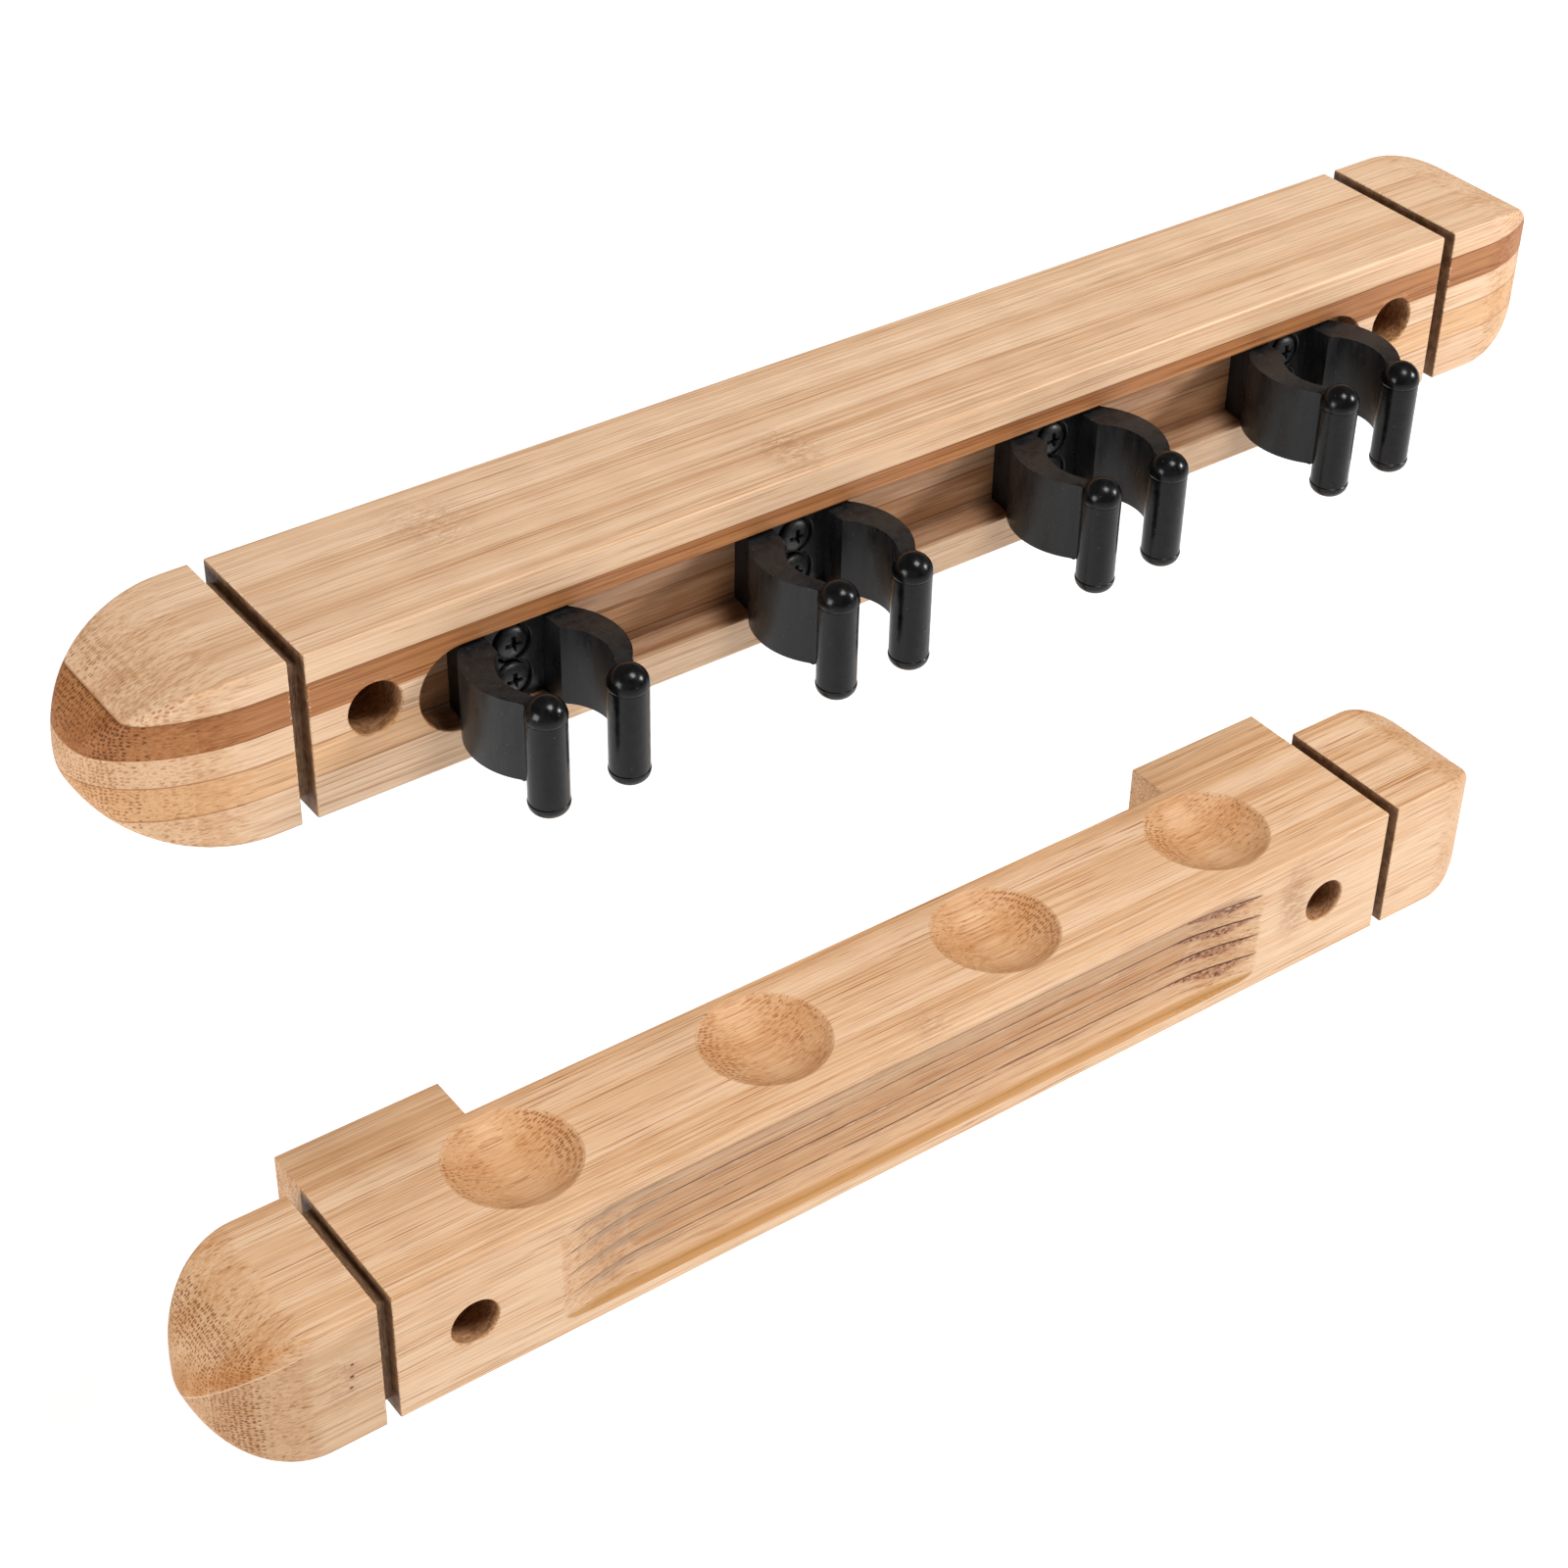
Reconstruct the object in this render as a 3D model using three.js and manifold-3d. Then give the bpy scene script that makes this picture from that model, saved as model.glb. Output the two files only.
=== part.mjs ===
// Wall cue rack: an upper rail with four spring clips and a lower rail with four butt dishes.
// Millimetres. +X runs along the rails, +Z is up, the wall is the plane y = 0 and the fronts face -Y.
import * as THREE from "three";
import { mergeVertices } from "three/addons/utils/BufferGeometryUtils.js";
import Module from "manifold-3d";

const wasm = await Module();
wasm.setup();

// Both rails are cut from the same bar.
const RAIL_DEPTH = 40;
const RAIL_HEIGHT = 38;
const BODY_LENGTH = 296;
const KERF_WIDTH = 3.4;
const KERF_DEPTH = 3.5;
const CAP_LENGTH = 38.6;
const CAP_STRAIGHT = 14;
const CAP_STEPS = 10;
const BODY_END = BODY_LENGTH / 2;
const RAIL_END = BODY_END + KERF_WIDTH + CAP_LENGTH;

// Upper rail: three glued boards, a long recess for the clips, two wall screw holes.
const UPPER_TOP = RAIL_HEIGHT / 2;
const UPPER_FRONT = -RAIL_DEPTH;
const TOP_BOARD = 6.4;
const DARK_BOARD = 7.7;
const DARK_TOP = UPPER_TOP - TOP_BOARD;
const CORE_TOP = DARK_TOP - DARK_BOARD;
const RECESS_DEPTH = 7;
const RECESS_HALF_LENGTH = 124.5;
const RECESS_HALF_HEIGHT = 9.75;
const RECESS_Z = -1.35;
const UPPER_HOLE_X = 134;
const UPPER_HOLE_Z = 1.4;
const UPPER_COUNTERBORE_R = 5.9;
const UPPER_COUNTERBORE_DEPTH = 14;

// Lower rail: one bar with dishes and a cove, and two stand-off blocks behind its ends.
const RAIL_DROP = 159.5;
const BLOCK_DEPTH = 12.4;
const BLOCK_LENGTH = 42.5;
const LOWER_TOP = UPPER_TOP - RAIL_DROP;
const LOWER_BOTTOM = LOWER_TOP - RAIL_HEIGHT;
const LOWER_BACK = -BLOCK_DEPTH;
const LOWER_FRONT = LOWER_BACK - RAIL_DEPTH;
const DISH_R = 16.3;
const DISH_DEPTH = 5;
const DISH_FROM_FRONT = 21.8;
const LOWER_HOLE_X = 128;
const LOWER_HOLE_Z = LOWER_TOP - 19.8;
const LOWER_COUNTERBORE_R = 6.15;
const LOWER_COUNTERBORE_DEPTH = 20;
const WALL_SCREW_HOLE_R = 2.5;
const COVE_HALF_LENGTH = 106;
const COVE_RUNOUT = 26;
const COVE_DEPTH = 4;
const COVE_TOP = LOWER_TOP - 3.5;
const COVE_BOTTOM = LOWER_TOP - 34.5;
const DISH_PITCH = 69.5;

// Spring clips, in their own frame: x = 0 is the clip's middle, y = 0 the rail's front face.
const STATIONS = 4;
const CLIP_PITCH = 68.2;
const CLIP_Z = -1.7;
const CLIP_HALF_HEIGHT = 9;
const RING_OUTER_R = 16.8;
const RING_OUTER_Y = -10;
const RING_INNER_R = 11.4;
const RING_INNER_Y = -13.2;
const RING_STEPS = 48;
const PAD_HALF_WIDTH = 12;
const CHANNEL_HALF_WIDTH = 7;
const CHANNEL_FLOOR_Y = 2.5;
const HINGE_Y = RING_OUTER_Y;
const HINGE_INNER_X = Math.sqrt(RING_INNER_R ** 2 - (HINGE_Y - RING_INNER_Y) ** 2);
const HINGE_X = (RING_OUTER_R + HINGE_INNER_X) / 2;
const KNUCKLE_R = (RING_OUTER_R - HINGE_INNER_X) / 2;
const BASE_FRONT_Y = HINGE_Y + 0.8;
const GAP = 0.3;

// Prongs at the arm ends, each a plastic pin in a rubber sleeve.
const PRONG_X = 9.2;
const PRONG_Y = -24.8;
const PRONG_R = 2.9;
const SLEEVE_R = 4.3;
const SLEEVE_TOP = 11.3;
const SLEEVE_BOTTOM = -15.9;
const SLEEVE_WALL = SLEEVE_R - PRONG_R;

// Two pan-head screws hold each clip.
const SCREW_OFFSET = 4.3;
const SCREW_HEAD_R = 3.6;
const SCREW_SHANK_R = 1.75;
const SCREW_SEAT_Y = CHANNEL_FLOOR_Y + 1.2;
const SCREW_HEAD_TOP_Y = SCREW_SEAT_Y - 2.2;
const SCREW_TIP_Y = SCREW_SEAT_Y + 16;
const SCREW_POCKET_R = 4.5;

// A closed manifold solid from a geometry, turned to face out.
function solid(geometry) {
  const bare = new THREE.BufferGeometry();
  bare.setAttribute("position", geometry.getAttribute("position"));
  bare.setIndex(geometry.index);
  const merged = mergeVertices(bare, 1e-4);
  const points = merged.getAttribute("position").array;
  const corners = merged.index.array;
  const faces = [];
  let volume = 0;
  for (let i = 0; i < corners.length; i += 3) {
    const [a, b, c] = corners.slice(i, i + 3);
    if (a === b || b === c || c === a) continue;
    faces.push([a, b, c]);
    const p = new THREE.Vector3().fromArray(points, 3 * a);
    const q = new THREE.Vector3().fromArray(points, 3 * b);
    const r = new THREE.Vector3().fromArray(points, 3 * c);
    volume += p.dot(q.cross(r));
  }
  const outward = volume < 0 ? faces.map(([a, b, c]) => [a, c, b]) : faces;
  return new wasm.Manifold(
    new wasm.Mesh({
      numProp: 3,
      vertProperties: new Float32Array(points),
      triVerts: new Uint32Array(outward.flat()),
    }),
  );
}

// A named mesh from a manifold solid, with flat facets.
function part(name, body, material, x = 0, y = 0, z = 0) {
  const data = body.getMesh();
  const indexed = new THREE.BufferGeometry();
  indexed.setAttribute("position", new THREE.BufferAttribute(data.vertProperties, 3));
  indexed.setIndex(new THREE.BufferAttribute(data.triVerts, 1));
  const geometry = indexed.toNonIndexed();
  geometry.computeVertexNormals();
  const mesh = new THREE.Mesh(geometry, new THREE.MeshStandardMaterial(material));
  mesh.name = name;
  mesh.position.set(x, y, z);
  return mesh;
}

function box(x0, x1, y0, y1, z0, z1) {
  const geometry = new THREE.BoxGeometry(x1 - x0, y1 - y0, z1 - z0);
  geometry.translate((x0 + x1) / 2, (y0 + y1) / 2, (z0 + z1) / 2);
  return solid(geometry);
}

function extruded(outline, depth) {
  const shape = new THREE.Shape(outline.map(([a, b]) => new THREE.Vector2(a, b)));
  return new THREE.ExtrudeGeometry(shape, { depth, bevelEnabled: false });
}

// Prisms: along Z from an (x, y) outline, along Y from (x, z), along X from (y, z).
function prismZ(outline, z0, z1) {
  return solid(extruded(outline, z1 - z0).translate(0, 0, z0));
}

function prismY(outline, y0, y1) {
  return solid(extruded(outline, y1 - y0).rotateX(Math.PI / 2).translate(0, y1, 0));
}

function prismX(outline, x0, x1) {
  const turn = new THREE.Matrix4().makeBasis(
    new THREE.Vector3(0, 1, 0),
    new THREE.Vector3(0, 0, 1),
    new THREE.Vector3(1, 0, 0),
  );
  return solid(extruded(outline, x1 - x0).applyMatrix4(turn).translate(x0, 0, 0));
}

function circle(radius, cx, cy, steps = RING_STEPS) {
  return Array.from({ length: steps }, (_, i) => {
    const angle = (2 * Math.PI * i) / steps;
    return [cx + radius * Math.cos(angle), cy + radius * Math.sin(angle)];
  });
}

function lathe(profile, steps) {
  return new THREE.LatheGeometry(profile.map(([r, h]) => new THREE.Vector2(r, h)), steps);
}

// A round pin along Z with domed ends.
function capsule(radius, x, y, z0, z1, steps = 18, rings = 4) {
  const profile = [];
  for (let i = 0; i <= rings; i += 1) {
    const angle = (Math.PI / 2) * (i / rings);
    profile.push([radius * Math.sin(angle), z0 + radius * (1 - Math.cos(angle))]);
  }
  for (let i = 0; i <= rings; i += 1) {
    const angle = (Math.PI / 2) * (i / rings);
    profile.push([radius * Math.cos(angle), z1 - radius * (1 - Math.sin(angle))]);
  }
  profile[0][0] = 0;
  profile[profile.length - 1][0] = 0;
  return solid(lathe(profile, steps).rotateX(Math.PI / 2).translate(x, y, 0));
}

// A bar's outline with both ends rounded off, in plan or from the side.
function roundedOutline(half, middle) {
  const start = BODY_END + KERF_WIDTH + CAP_STRAIGHT;
  const arc = [];
  for (let i = 0; i <= 2 * CAP_STEPS; i += 1) {
    const angle = (Math.PI / 2) * (1 - i / CAP_STEPS);
    arc.push([start + (RAIL_END - start) * Math.cos(angle), half * Math.sin(angle)]);
  }
  const left = arc.map(([x, w]) => [-x, -w]);
  return [...arc, ...left].map(([x, w]) => [x, middle + w]);
}

// A rail bar: body, kerf necks and pillow-shaped caps.
function railBar(front, top) {
  const back = front + RAIL_DEPTH;
  const bottom = top - RAIL_HEIGHT;
  const plan = prismZ(roundedOutline(RAIL_DEPTH / 2, front + RAIL_DEPTH / 2), bottom, top);
  const side = prismY(roundedOutline(RAIL_HEIGHT / 2, top - RAIL_HEIGHT / 2), front, back);
  let bar = plan.intersect(side);
  for (const end of [-1, 1]) {
    const a = end * BODY_END;
    const b = end * (BODY_END + KERF_WIDTH);
    const slab = box(Math.min(a, b), Math.max(a, b), front - 1, back + 1, bottom - 1, top + 1);
    const neck = box(
      Math.min(a, b) - 1,
      Math.max(a, b) + 1,
      front + KERF_DEPTH,
      back - KERF_DEPTH,
      bottom + KERF_DEPTH,
      top - KERF_DEPTH,
    );
    bar = bar.subtract(slab.subtract(neck));
  }
  return bar;
}

// A counterbored hole for a wall screw, from the front face right through.
function wallScrewHole(x, front, z, radius, depth) {
  const seat = front + depth;
  const outline = [
    [0, front - 1],
    [radius, front - 1],
    [radius, seat],
    [WALL_SCREW_HOLE_R, seat],
    [WALL_SCREW_HOLE_R, 1],
    [0, 1],
  ];
  return solid(lathe(outline, 32).translate(x, 0, z));
}

// The place along the rail of a clip or a dish, counted from the left.
function stationX(index, pitch = CLIP_PITCH) {
  return (index - (STATIONS - 1) / 2) * pitch;
}

// The recess is a long slot with round ends.
function clipRecess() {
  const straight = RECESS_HALF_LENGTH - RECESS_HALF_HEIGHT;
  const outline = [];
  for (let i = 0; i <= 16; i += 1) {
    const angle = Math.PI * (i / 16 - 0.5);
    outline.push([
      straight + RECESS_HALF_HEIGHT * Math.cos(angle),
      RECESS_Z + RECESS_HALF_HEIGHT * Math.sin(angle),
    ]);
  }
  const left = outline.map(([x, z]) => [-x, 2 * RECESS_Z - z]);
  return prismY([...outline, ...left], UPPER_FRONT - 1, UPPER_FRONT + RECESS_DEPTH);
}

function upperBar() {
  let bar = railBar(UPPER_FRONT, UPPER_TOP).subtract(clipRecess());
  for (const end of [-1, 1]) {
    bar = bar.subtract(
      wallScrewHole(
        end * UPPER_HOLE_X,
        UPPER_FRONT,
        UPPER_HOLE_Z,
        UPPER_COUNTERBORE_R,
        UPPER_COUNTERBORE_DEPTH,
      ),
    );
  }
  for (let i = 0; i < STATIONS; i += 1) {
    for (const level of [-1, 1]) {
      const pilot = prismY(
        circle(SCREW_SHANK_R + GAP, stationX(i), CLIP_Z + level * SCREW_OFFSET, 16),
        UPPER_FRONT + RECESS_DEPTH - 1,
        UPPER_FRONT + SCREW_TIP_Y + 0.5,
      );
      bar = bar.subtract(pilot);
    }
  }
  return bar;
}

function slice(bar, bottom, top) {
  return bar.intersect(box(-RAIL_END - 1, RAIL_END + 1, UPPER_FRONT - 1, 1, bottom, top));
}

// A shallow round dish that takes a cue's butt.
function dish(x) {
  const sphere = (DISH_R ** 2 + DISH_DEPTH ** 2) / (2 * DISH_DEPTH);
  const profile = [[0, LOWER_TOP - DISH_DEPTH]];
  const rings = 6;
  for (let i = 1; i <= rings; i += 1) {
    const r = (DISH_R * i) / rings;
    profile.push([r, LOWER_TOP - DISH_DEPTH + sphere - Math.sqrt(sphere ** 2 - r ** 2)]);
  }
  profile.push([DISH_R, LOWER_TOP + 2], [0, LOWER_TOP + 2]);
  return solid(
    lathe(profile, 28).rotateX(Math.PI / 2).translate(x, LOWER_FRONT + DISH_FROM_FRONT, 0),
  );
}

// The broad, shallow cove along the lower rail's front, running out at both ends.
function frontCove() {
  const steps = 14;
  const middle = (COVE_TOP + COVE_BOTTOM) / 2;
  const half = (COVE_TOP - COVE_BOTTOM) / 2;
  const section = [[LOWER_FRONT - 1, COVE_TOP]];
  for (let i = 0; i <= steps; i += 1) {
    const t = Math.cos((Math.PI * i) / steps);
    section.push([LOWER_FRONT + COVE_DEPTH * (1 - t ** 4), middle + half * t]);
  }
  section.push([LOWER_FRONT - 1, COVE_BOTTOM]);
  const plan = [];
  for (let i = 0; i <= steps; i += 1) {
    const u = 1 - i / steps;
    const depth = COVE_DEPTH * Math.sin((Math.PI / 2) * u) ** 1.15;
    plan.push([COVE_HALF_LENGTH - COVE_RUNOUT * u, LOWER_FRONT + depth]);
  }
  plan.push([COVE_HALF_LENGTH, LOWER_FRONT - 1]);
  const mirrored = plan.map(([x, y]) => [-x, y]).reverse();
  const along = prismX(section, -COVE_HALF_LENGTH, COVE_HALF_LENGTH);
  return along.intersect(prismZ([...plan, ...mirrored], COVE_BOTTOM - 1, COVE_TOP + 1));
}

function lowerHole(end) {
  return wallScrewHole(
    end * LOWER_HOLE_X,
    LOWER_FRONT,
    LOWER_HOLE_Z,
    LOWER_COUNTERBORE_R,
    LOWER_COUNTERBORE_DEPTH,
  );
}

function lowerBar() {
  let bar = railBar(LOWER_FRONT, LOWER_TOP).subtract(frontCove());
  for (let i = 0; i < STATIONS; i += 1) {
    bar = bar.subtract(dish(stationX(i, DISH_PITCH)));
  }
  return bar.subtract(lowerHole(-1)).subtract(lowerHole(1));
}

function standOffBlock(end) {
  const outer = end * BODY_END;
  const inner = end * (BODY_END - BLOCK_LENGTH);
  const x0 = Math.min(outer, inner);
  const x1 = Math.max(outer, inner);
  return box(x0, x1, LOWER_BACK, 0, LOWER_BOTTOM, LOWER_TOP).subtract(lowerHole(end));
}

// The clip's C-shaped wall, grown by a margin on every side.
function ringWall(margin = 0) {
  const z = CLIP_HALF_HEIGHT + margin;
  const outer = prismZ(circle(RING_OUTER_R + margin, 0, RING_OUTER_Y), -z, z);
  return outer.subtract(
    prismZ(circle(RING_INNER_R - margin, 0, RING_INNER_Y), -z - 1, z + 1),
  );
}

// The part of the wall that flexes on one side, from the arm's root to its prong.
function armWall(side, margin = 0) {
  const inner = side * (PRONG_X - margin);
  const outer = side * (RING_OUTER_R + 2);
  const reach = box(
    Math.min(inner, outer),
    Math.max(inner, outer),
    RING_OUTER_Y - RING_OUTER_R - 2,
    HINGE_Y,
    -CLIP_HALF_HEIGHT - 1,
    CLIP_HALF_HEIGHT + 1,
  );
  return ringWall(margin).intersect(reach);
}

function clipBase() {
  const h = CLIP_HALF_HEIGHT;
  const back = box(-RING_OUTER_R - 1, RING_OUTER_R + 1, BASE_FRONT_Y, RECESS_DEPTH, -h, h);
  const pad = box(-PAD_HALF_WIDTH, PAD_HALF_WIDTH, -1, RECESS_DEPTH, -h, h);
  const channel = box(
    -CHANNEL_HALF_WIDTH,
    CHANNEL_HALF_WIDTH,
    RING_INNER_Y,
    CHANNEL_FLOOR_Y,
    -h - 1,
    h + 1,
  );
  let base = ringWall().intersect(back).add(pad).subtract(channel);
  for (const side of [-1, 1]) {
    const socket = circle(KNUCKLE_R + GAP, side * HINGE_X, HINGE_Y, 32);
    base = base.subtract(prismZ(socket, -h - 1, h + 1));
  }
  for (const level of [-1, 1]) {
    const z = level * SCREW_OFFSET;
    const pocket = prismY(circle(SCREW_POCKET_R, 0, z, 28), CHANNEL_FLOOR_Y - 1, SCREW_SEAT_Y);
    const hole = prismY(circle(SCREW_SHANK_R + GAP, 0, z, 16), 0, RECESS_DEPTH + 1);
    base = base.subtract(pocket).subtract(hole);
  }
  return base;
}

function clipArm(side) {
  const h = CLIP_HALF_HEIGHT;
  const knuckle = prismZ(circle(KNUCKLE_R, side * HINGE_X, HINGE_Y, 32), -h, h);
  const prong = capsule(
    PRONG_R,
    side * PRONG_X,
    PRONG_Y,
    SLEEVE_BOTTOM + SLEEVE_WALL,
    SLEEVE_TOP - SLEEVE_WALL,
    14,
    3,
  );
  return armWall(side).add(knuckle).add(prong);
}

function prongSleeve(side) {
  const x = side * PRONG_X;
  const skin = capsule(SLEEVE_R, x, PRONG_Y, SLEEVE_BOTTOM, SLEEVE_TOP);
  const hollow = capsule(
    PRONG_R + GAP,
    x,
    PRONG_Y,
    SLEEVE_BOTTOM + SLEEVE_WALL - GAP,
    SLEEVE_TOP - SLEEVE_WALL + GAP,
    14,
    3,
  );
  return skin.subtract(hollow).subtract(armWall(side, GAP));
}

// A pan-head wood screw along Y with a cross recess in its head.
function clipScrew() {
  const profile = [
    [0, SCREW_TIP_Y],
    [SCREW_SHANK_R, SCREW_TIP_Y - 4],
    [SCREW_SHANK_R, SCREW_SEAT_Y],
    [SCREW_HEAD_R, SCREW_SEAT_Y],
    [SCREW_HEAD_R, SCREW_SEAT_Y - 0.9],
    [SCREW_HEAD_R * 0.82, SCREW_HEAD_TOP_Y + 0.5],
    [SCREW_HEAD_R * 0.45, SCREW_HEAD_TOP_Y],
    [0, SCREW_HEAD_TOP_Y],
  ];
  const y0 = SCREW_HEAD_TOP_Y - 1;
  const y1 = SCREW_HEAD_TOP_Y + 1.4;
  const across = box(-2.1, 2.1, y0, y1, -0.5, 0.5);
  const upright = box(-0.5, 0.5, y0, y1, -2.1, 2.1);
  return solid(lathe(profile, 24)).subtract(across.add(upright));
}

const LIGHT_BAMBOO = { color: 0xdcb283, roughness: 0.55, metalness: 0 };
const DARK_BAMBOO = { color: 0xb17a45, roughness: 0.55, metalness: 0 };
const BLACK_PLASTIC = { color: 0x1c1c1d, roughness: 0.45, metalness: 0 };
const BLACK_RUBBER = { color: 0x101011, roughness: 0.3, metalness: 0 };
const BLACK_STEEL = { color: 0x2a2a2b, roughness: 0.4, metalness: 0.9 };

const rack = new THREE.Group();
rack.name = "wall_cue_rack";

const upper = upperBar();
rack.add(part("upper_rail_top_board", slice(upper, DARK_TOP, UPPER_TOP + 1), LIGHT_BAMBOO));
rack.add(part("upper_rail_dark_strip", slice(upper, CORE_TOP, DARK_TOP), DARK_BAMBOO));
rack.add(part("upper_rail_core_board", slice(upper, -UPPER_TOP - 1, CORE_TOP), LIGHT_BAMBOO));
rack.add(part("lower_rail_bar", lowerBar(), LIGHT_BAMBOO));
rack.add(part("lower_rail_left_block", standOffBlock(-1), LIGHT_BAMBOO));
rack.add(part("lower_rail_right_block", standOffBlock(1), LIGHT_BAMBOO));

const base = clipBase();
const screw = clipScrew();
const sides = [
  { word: "left", arm: clipArm(-1), sleeve: prongSleeve(-1) },
  { word: "right", arm: clipArm(1), sleeve: prongSleeve(1) },
];
for (let i = 0; i < STATIONS; i += 1) {
  const clip = `clip_${i + 1}`;
  const x = stationX(i);
  rack.add(part(`${clip}_base`, base, BLACK_PLASTIC, x, UPPER_FRONT, CLIP_Z));
  for (const { word, arm, sleeve } of sides) {
    rack.add(part(`${clip}_${word}_arm`, arm, BLACK_PLASTIC, x, UPPER_FRONT, CLIP_Z));
    rack.add(part(`${clip}_${word}_sleeve`, sleeve, BLACK_RUBBER, x, UPPER_FRONT, CLIP_Z));
  }
  for (const [word, level] of [["upper", 1], ["lower", -1]]) {
    const z = CLIP_Z + level * SCREW_OFFSET;
    rack.add(part(`${clip}_${word}_screw`, screw, BLACK_STEEL, x, UPPER_FRONT, z));
  }
}

export default rack;
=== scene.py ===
import math

import bmesh
import bpy
from mathutils import Matrix, Vector


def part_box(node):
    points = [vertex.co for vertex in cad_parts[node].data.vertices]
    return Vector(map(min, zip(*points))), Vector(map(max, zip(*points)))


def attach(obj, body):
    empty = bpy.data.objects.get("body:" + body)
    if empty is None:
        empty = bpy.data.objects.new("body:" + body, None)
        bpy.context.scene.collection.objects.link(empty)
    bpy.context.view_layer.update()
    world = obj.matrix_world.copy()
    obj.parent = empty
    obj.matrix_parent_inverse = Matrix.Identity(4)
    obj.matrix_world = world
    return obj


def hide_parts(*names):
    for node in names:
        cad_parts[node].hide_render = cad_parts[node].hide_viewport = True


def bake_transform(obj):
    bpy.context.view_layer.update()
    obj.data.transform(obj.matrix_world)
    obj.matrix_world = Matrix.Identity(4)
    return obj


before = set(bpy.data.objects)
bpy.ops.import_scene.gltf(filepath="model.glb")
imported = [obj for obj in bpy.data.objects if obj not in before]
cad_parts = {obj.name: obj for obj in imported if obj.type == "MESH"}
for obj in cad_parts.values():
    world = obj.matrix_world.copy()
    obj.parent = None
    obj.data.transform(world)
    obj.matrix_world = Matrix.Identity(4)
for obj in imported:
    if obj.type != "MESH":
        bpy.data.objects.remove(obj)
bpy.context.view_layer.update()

MM = 0.001

# The CAD's boxes, in millimetres.


def node_box(*names):
    """Lowest and highest corner of several CAD nodes together, in millimetres."""
    boxes = [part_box(name) for name in names]
    low = [min(b[0][i] for b in boxes) / MM for i in range(3)]
    high = [max(b[1][i] for b in boxes) / MM for i in range(3)]
    return low, high


UPPER_NODES = ("upper_rail_top_board", "upper_rail_dark_strip", "upper_rail_core_board")
UPPER_LOW, UPPER_HIGH = node_box(*UPPER_NODES)
LOWER_LOW, LOWER_HIGH = node_box("lower_rail_bar")
BLOCK_LOW = node_box("lower_rail_left_block")[0]
DARK_LOW, DARK_HIGH = node_box("upper_rail_dark_strip")

RAIL_END = UPPER_HIGH[0]
RAIL_DEPTH = UPPER_HIGH[1] - UPPER_LOW[1]
RAIL_HEIGHT = UPPER_HIGH[2] - UPPER_LOW[2]
BODY_END = -BLOCK_LOW[0]
UPPER_FRONT = UPPER_LOW[1]
UPPER_TOP = UPPER_HIGH[2]
LOWER_FRONT = LOWER_LOW[1]
LOWER_TOP = LOWER_HIGH[2]
CORE_TOP = DARK_LOW[2]
DARK_TOP = DARK_HIGH[2]

KERF_WIDTH = 3.4
KERF_DEPTH = 3.5
CAP_START = BODY_END + KERF_WIDTH
EDGE_ROUND = 0.55
GLUED_EDGE_ROUND = 0.12
RIM_ROUND = 0.35
SMOOTH_ANGLE = 30.0
TOOL_MARGIN = 5.0
SAWN_EDGE_ROUND = 0.3
CAP_SOFTENING = 4.2

RECESS_DEPTH = 7.0
RECESS_HALF_LENGTH = 124.5
RECESS_HALF_HEIGHT = 9.75
RECESS_Z = -1.35

UPPER_HOLE = {"x": 134.0, "z": 1.4, "radius": 5.9, "depth": 14.0}
LOWER_HOLE = {"x": 128.0, "z": LOWER_TOP - 19.8, "radius": 6.15, "depth": 20.0}
WALL_SCREW_RADIUS = 2.5

DISH_PITCH = 69.5
DISH_RADIUS = 16.3
DISH_DEPTH = 5.0
DISH_Y = LOWER_FRONT + 21.8

COVE_HALF_LENGTH = 106.0
COVE_RUNOUT = 26.0
COVE_DEPTH = 4.0
COVE_TOP = LOWER_TOP - 3.5
COVE_BOTTOM = LOWER_TOP - 34.5
COVE_MIDDLE = (COVE_TOP + COVE_BOTTOM) / 2
COVE_HALF_HEIGHT = (COVE_TOP - COVE_BOTTOM) / 2
COVE_FIRST_SEAM = LOWER_TOP - 7.8

CLIP_COUNT = 4
CLIP_HALF_HEIGHT = 9.0
RING_OUTER_R = 16.8
RING_OUTER_Y = -10.0
RING_INNER_R = 11.4
RING_INNER_Y = -13.2
PAD_HALF_WIDTH = 12.0
CHANNEL_HALF_WIDTH = 7.0
CHANNEL_FLOOR_Y = 2.5
CLIP_EDGE = 0.4
PRONG_X = 9.2
PRONG_Y = -24.8
PRONG_R = 2.9
PRONG_GAP = 0.05
SLEEVE_R = 4.3
SLEEVE_TOP = 11.3
SLEEVE_BOTTOM = -15.9
SLEEVE_END_THICKNESS = 1.4
SCREW_OFFSET = 4.3
SCREW_SEAT_Y = 3.7
SCREW_HEAD_R = 3.6
SCREW_HEAD_FRONT_Y = 1.5
SCREW_TIP_Y = 19.7
SCREW_NECK_R = 1.35
SCREW_CORE_R = 1.2
SCREW_THREAD_R = 1.72
SCREW_PITCH = 1.2
POCKET_R = 4.5
POCKET_CHAMFER = 0.2


# Mesh tools.


def new_object(name, data):
    """A new object in the scene."""
    obj = bpy.data.objects.new(name, data)
    bpy.context.scene.collection.objects.link(obj)
    return obj


def finish_mesh(name, mesh_data):
    """An object from a bmesh in millimetres, smooth up to SMOOTH_ANGLE and sharp beyond it."""
    bmesh.ops.remove_doubles(mesh_data, verts=mesh_data.verts, dist=1e-4)
    bmesh.ops.recalc_face_normals(mesh_data, faces=mesh_data.faces)
    bmesh.ops.transform(mesh_data, matrix=Matrix.Scale(MM, 4), verts=mesh_data.verts)
    mesh = bpy.data.meshes.new(name)
    mesh_data.to_mesh(mesh)
    mesh_data.free()
    obj = new_object(name, mesh)
    set_smooth(obj)
    return obj


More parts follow.
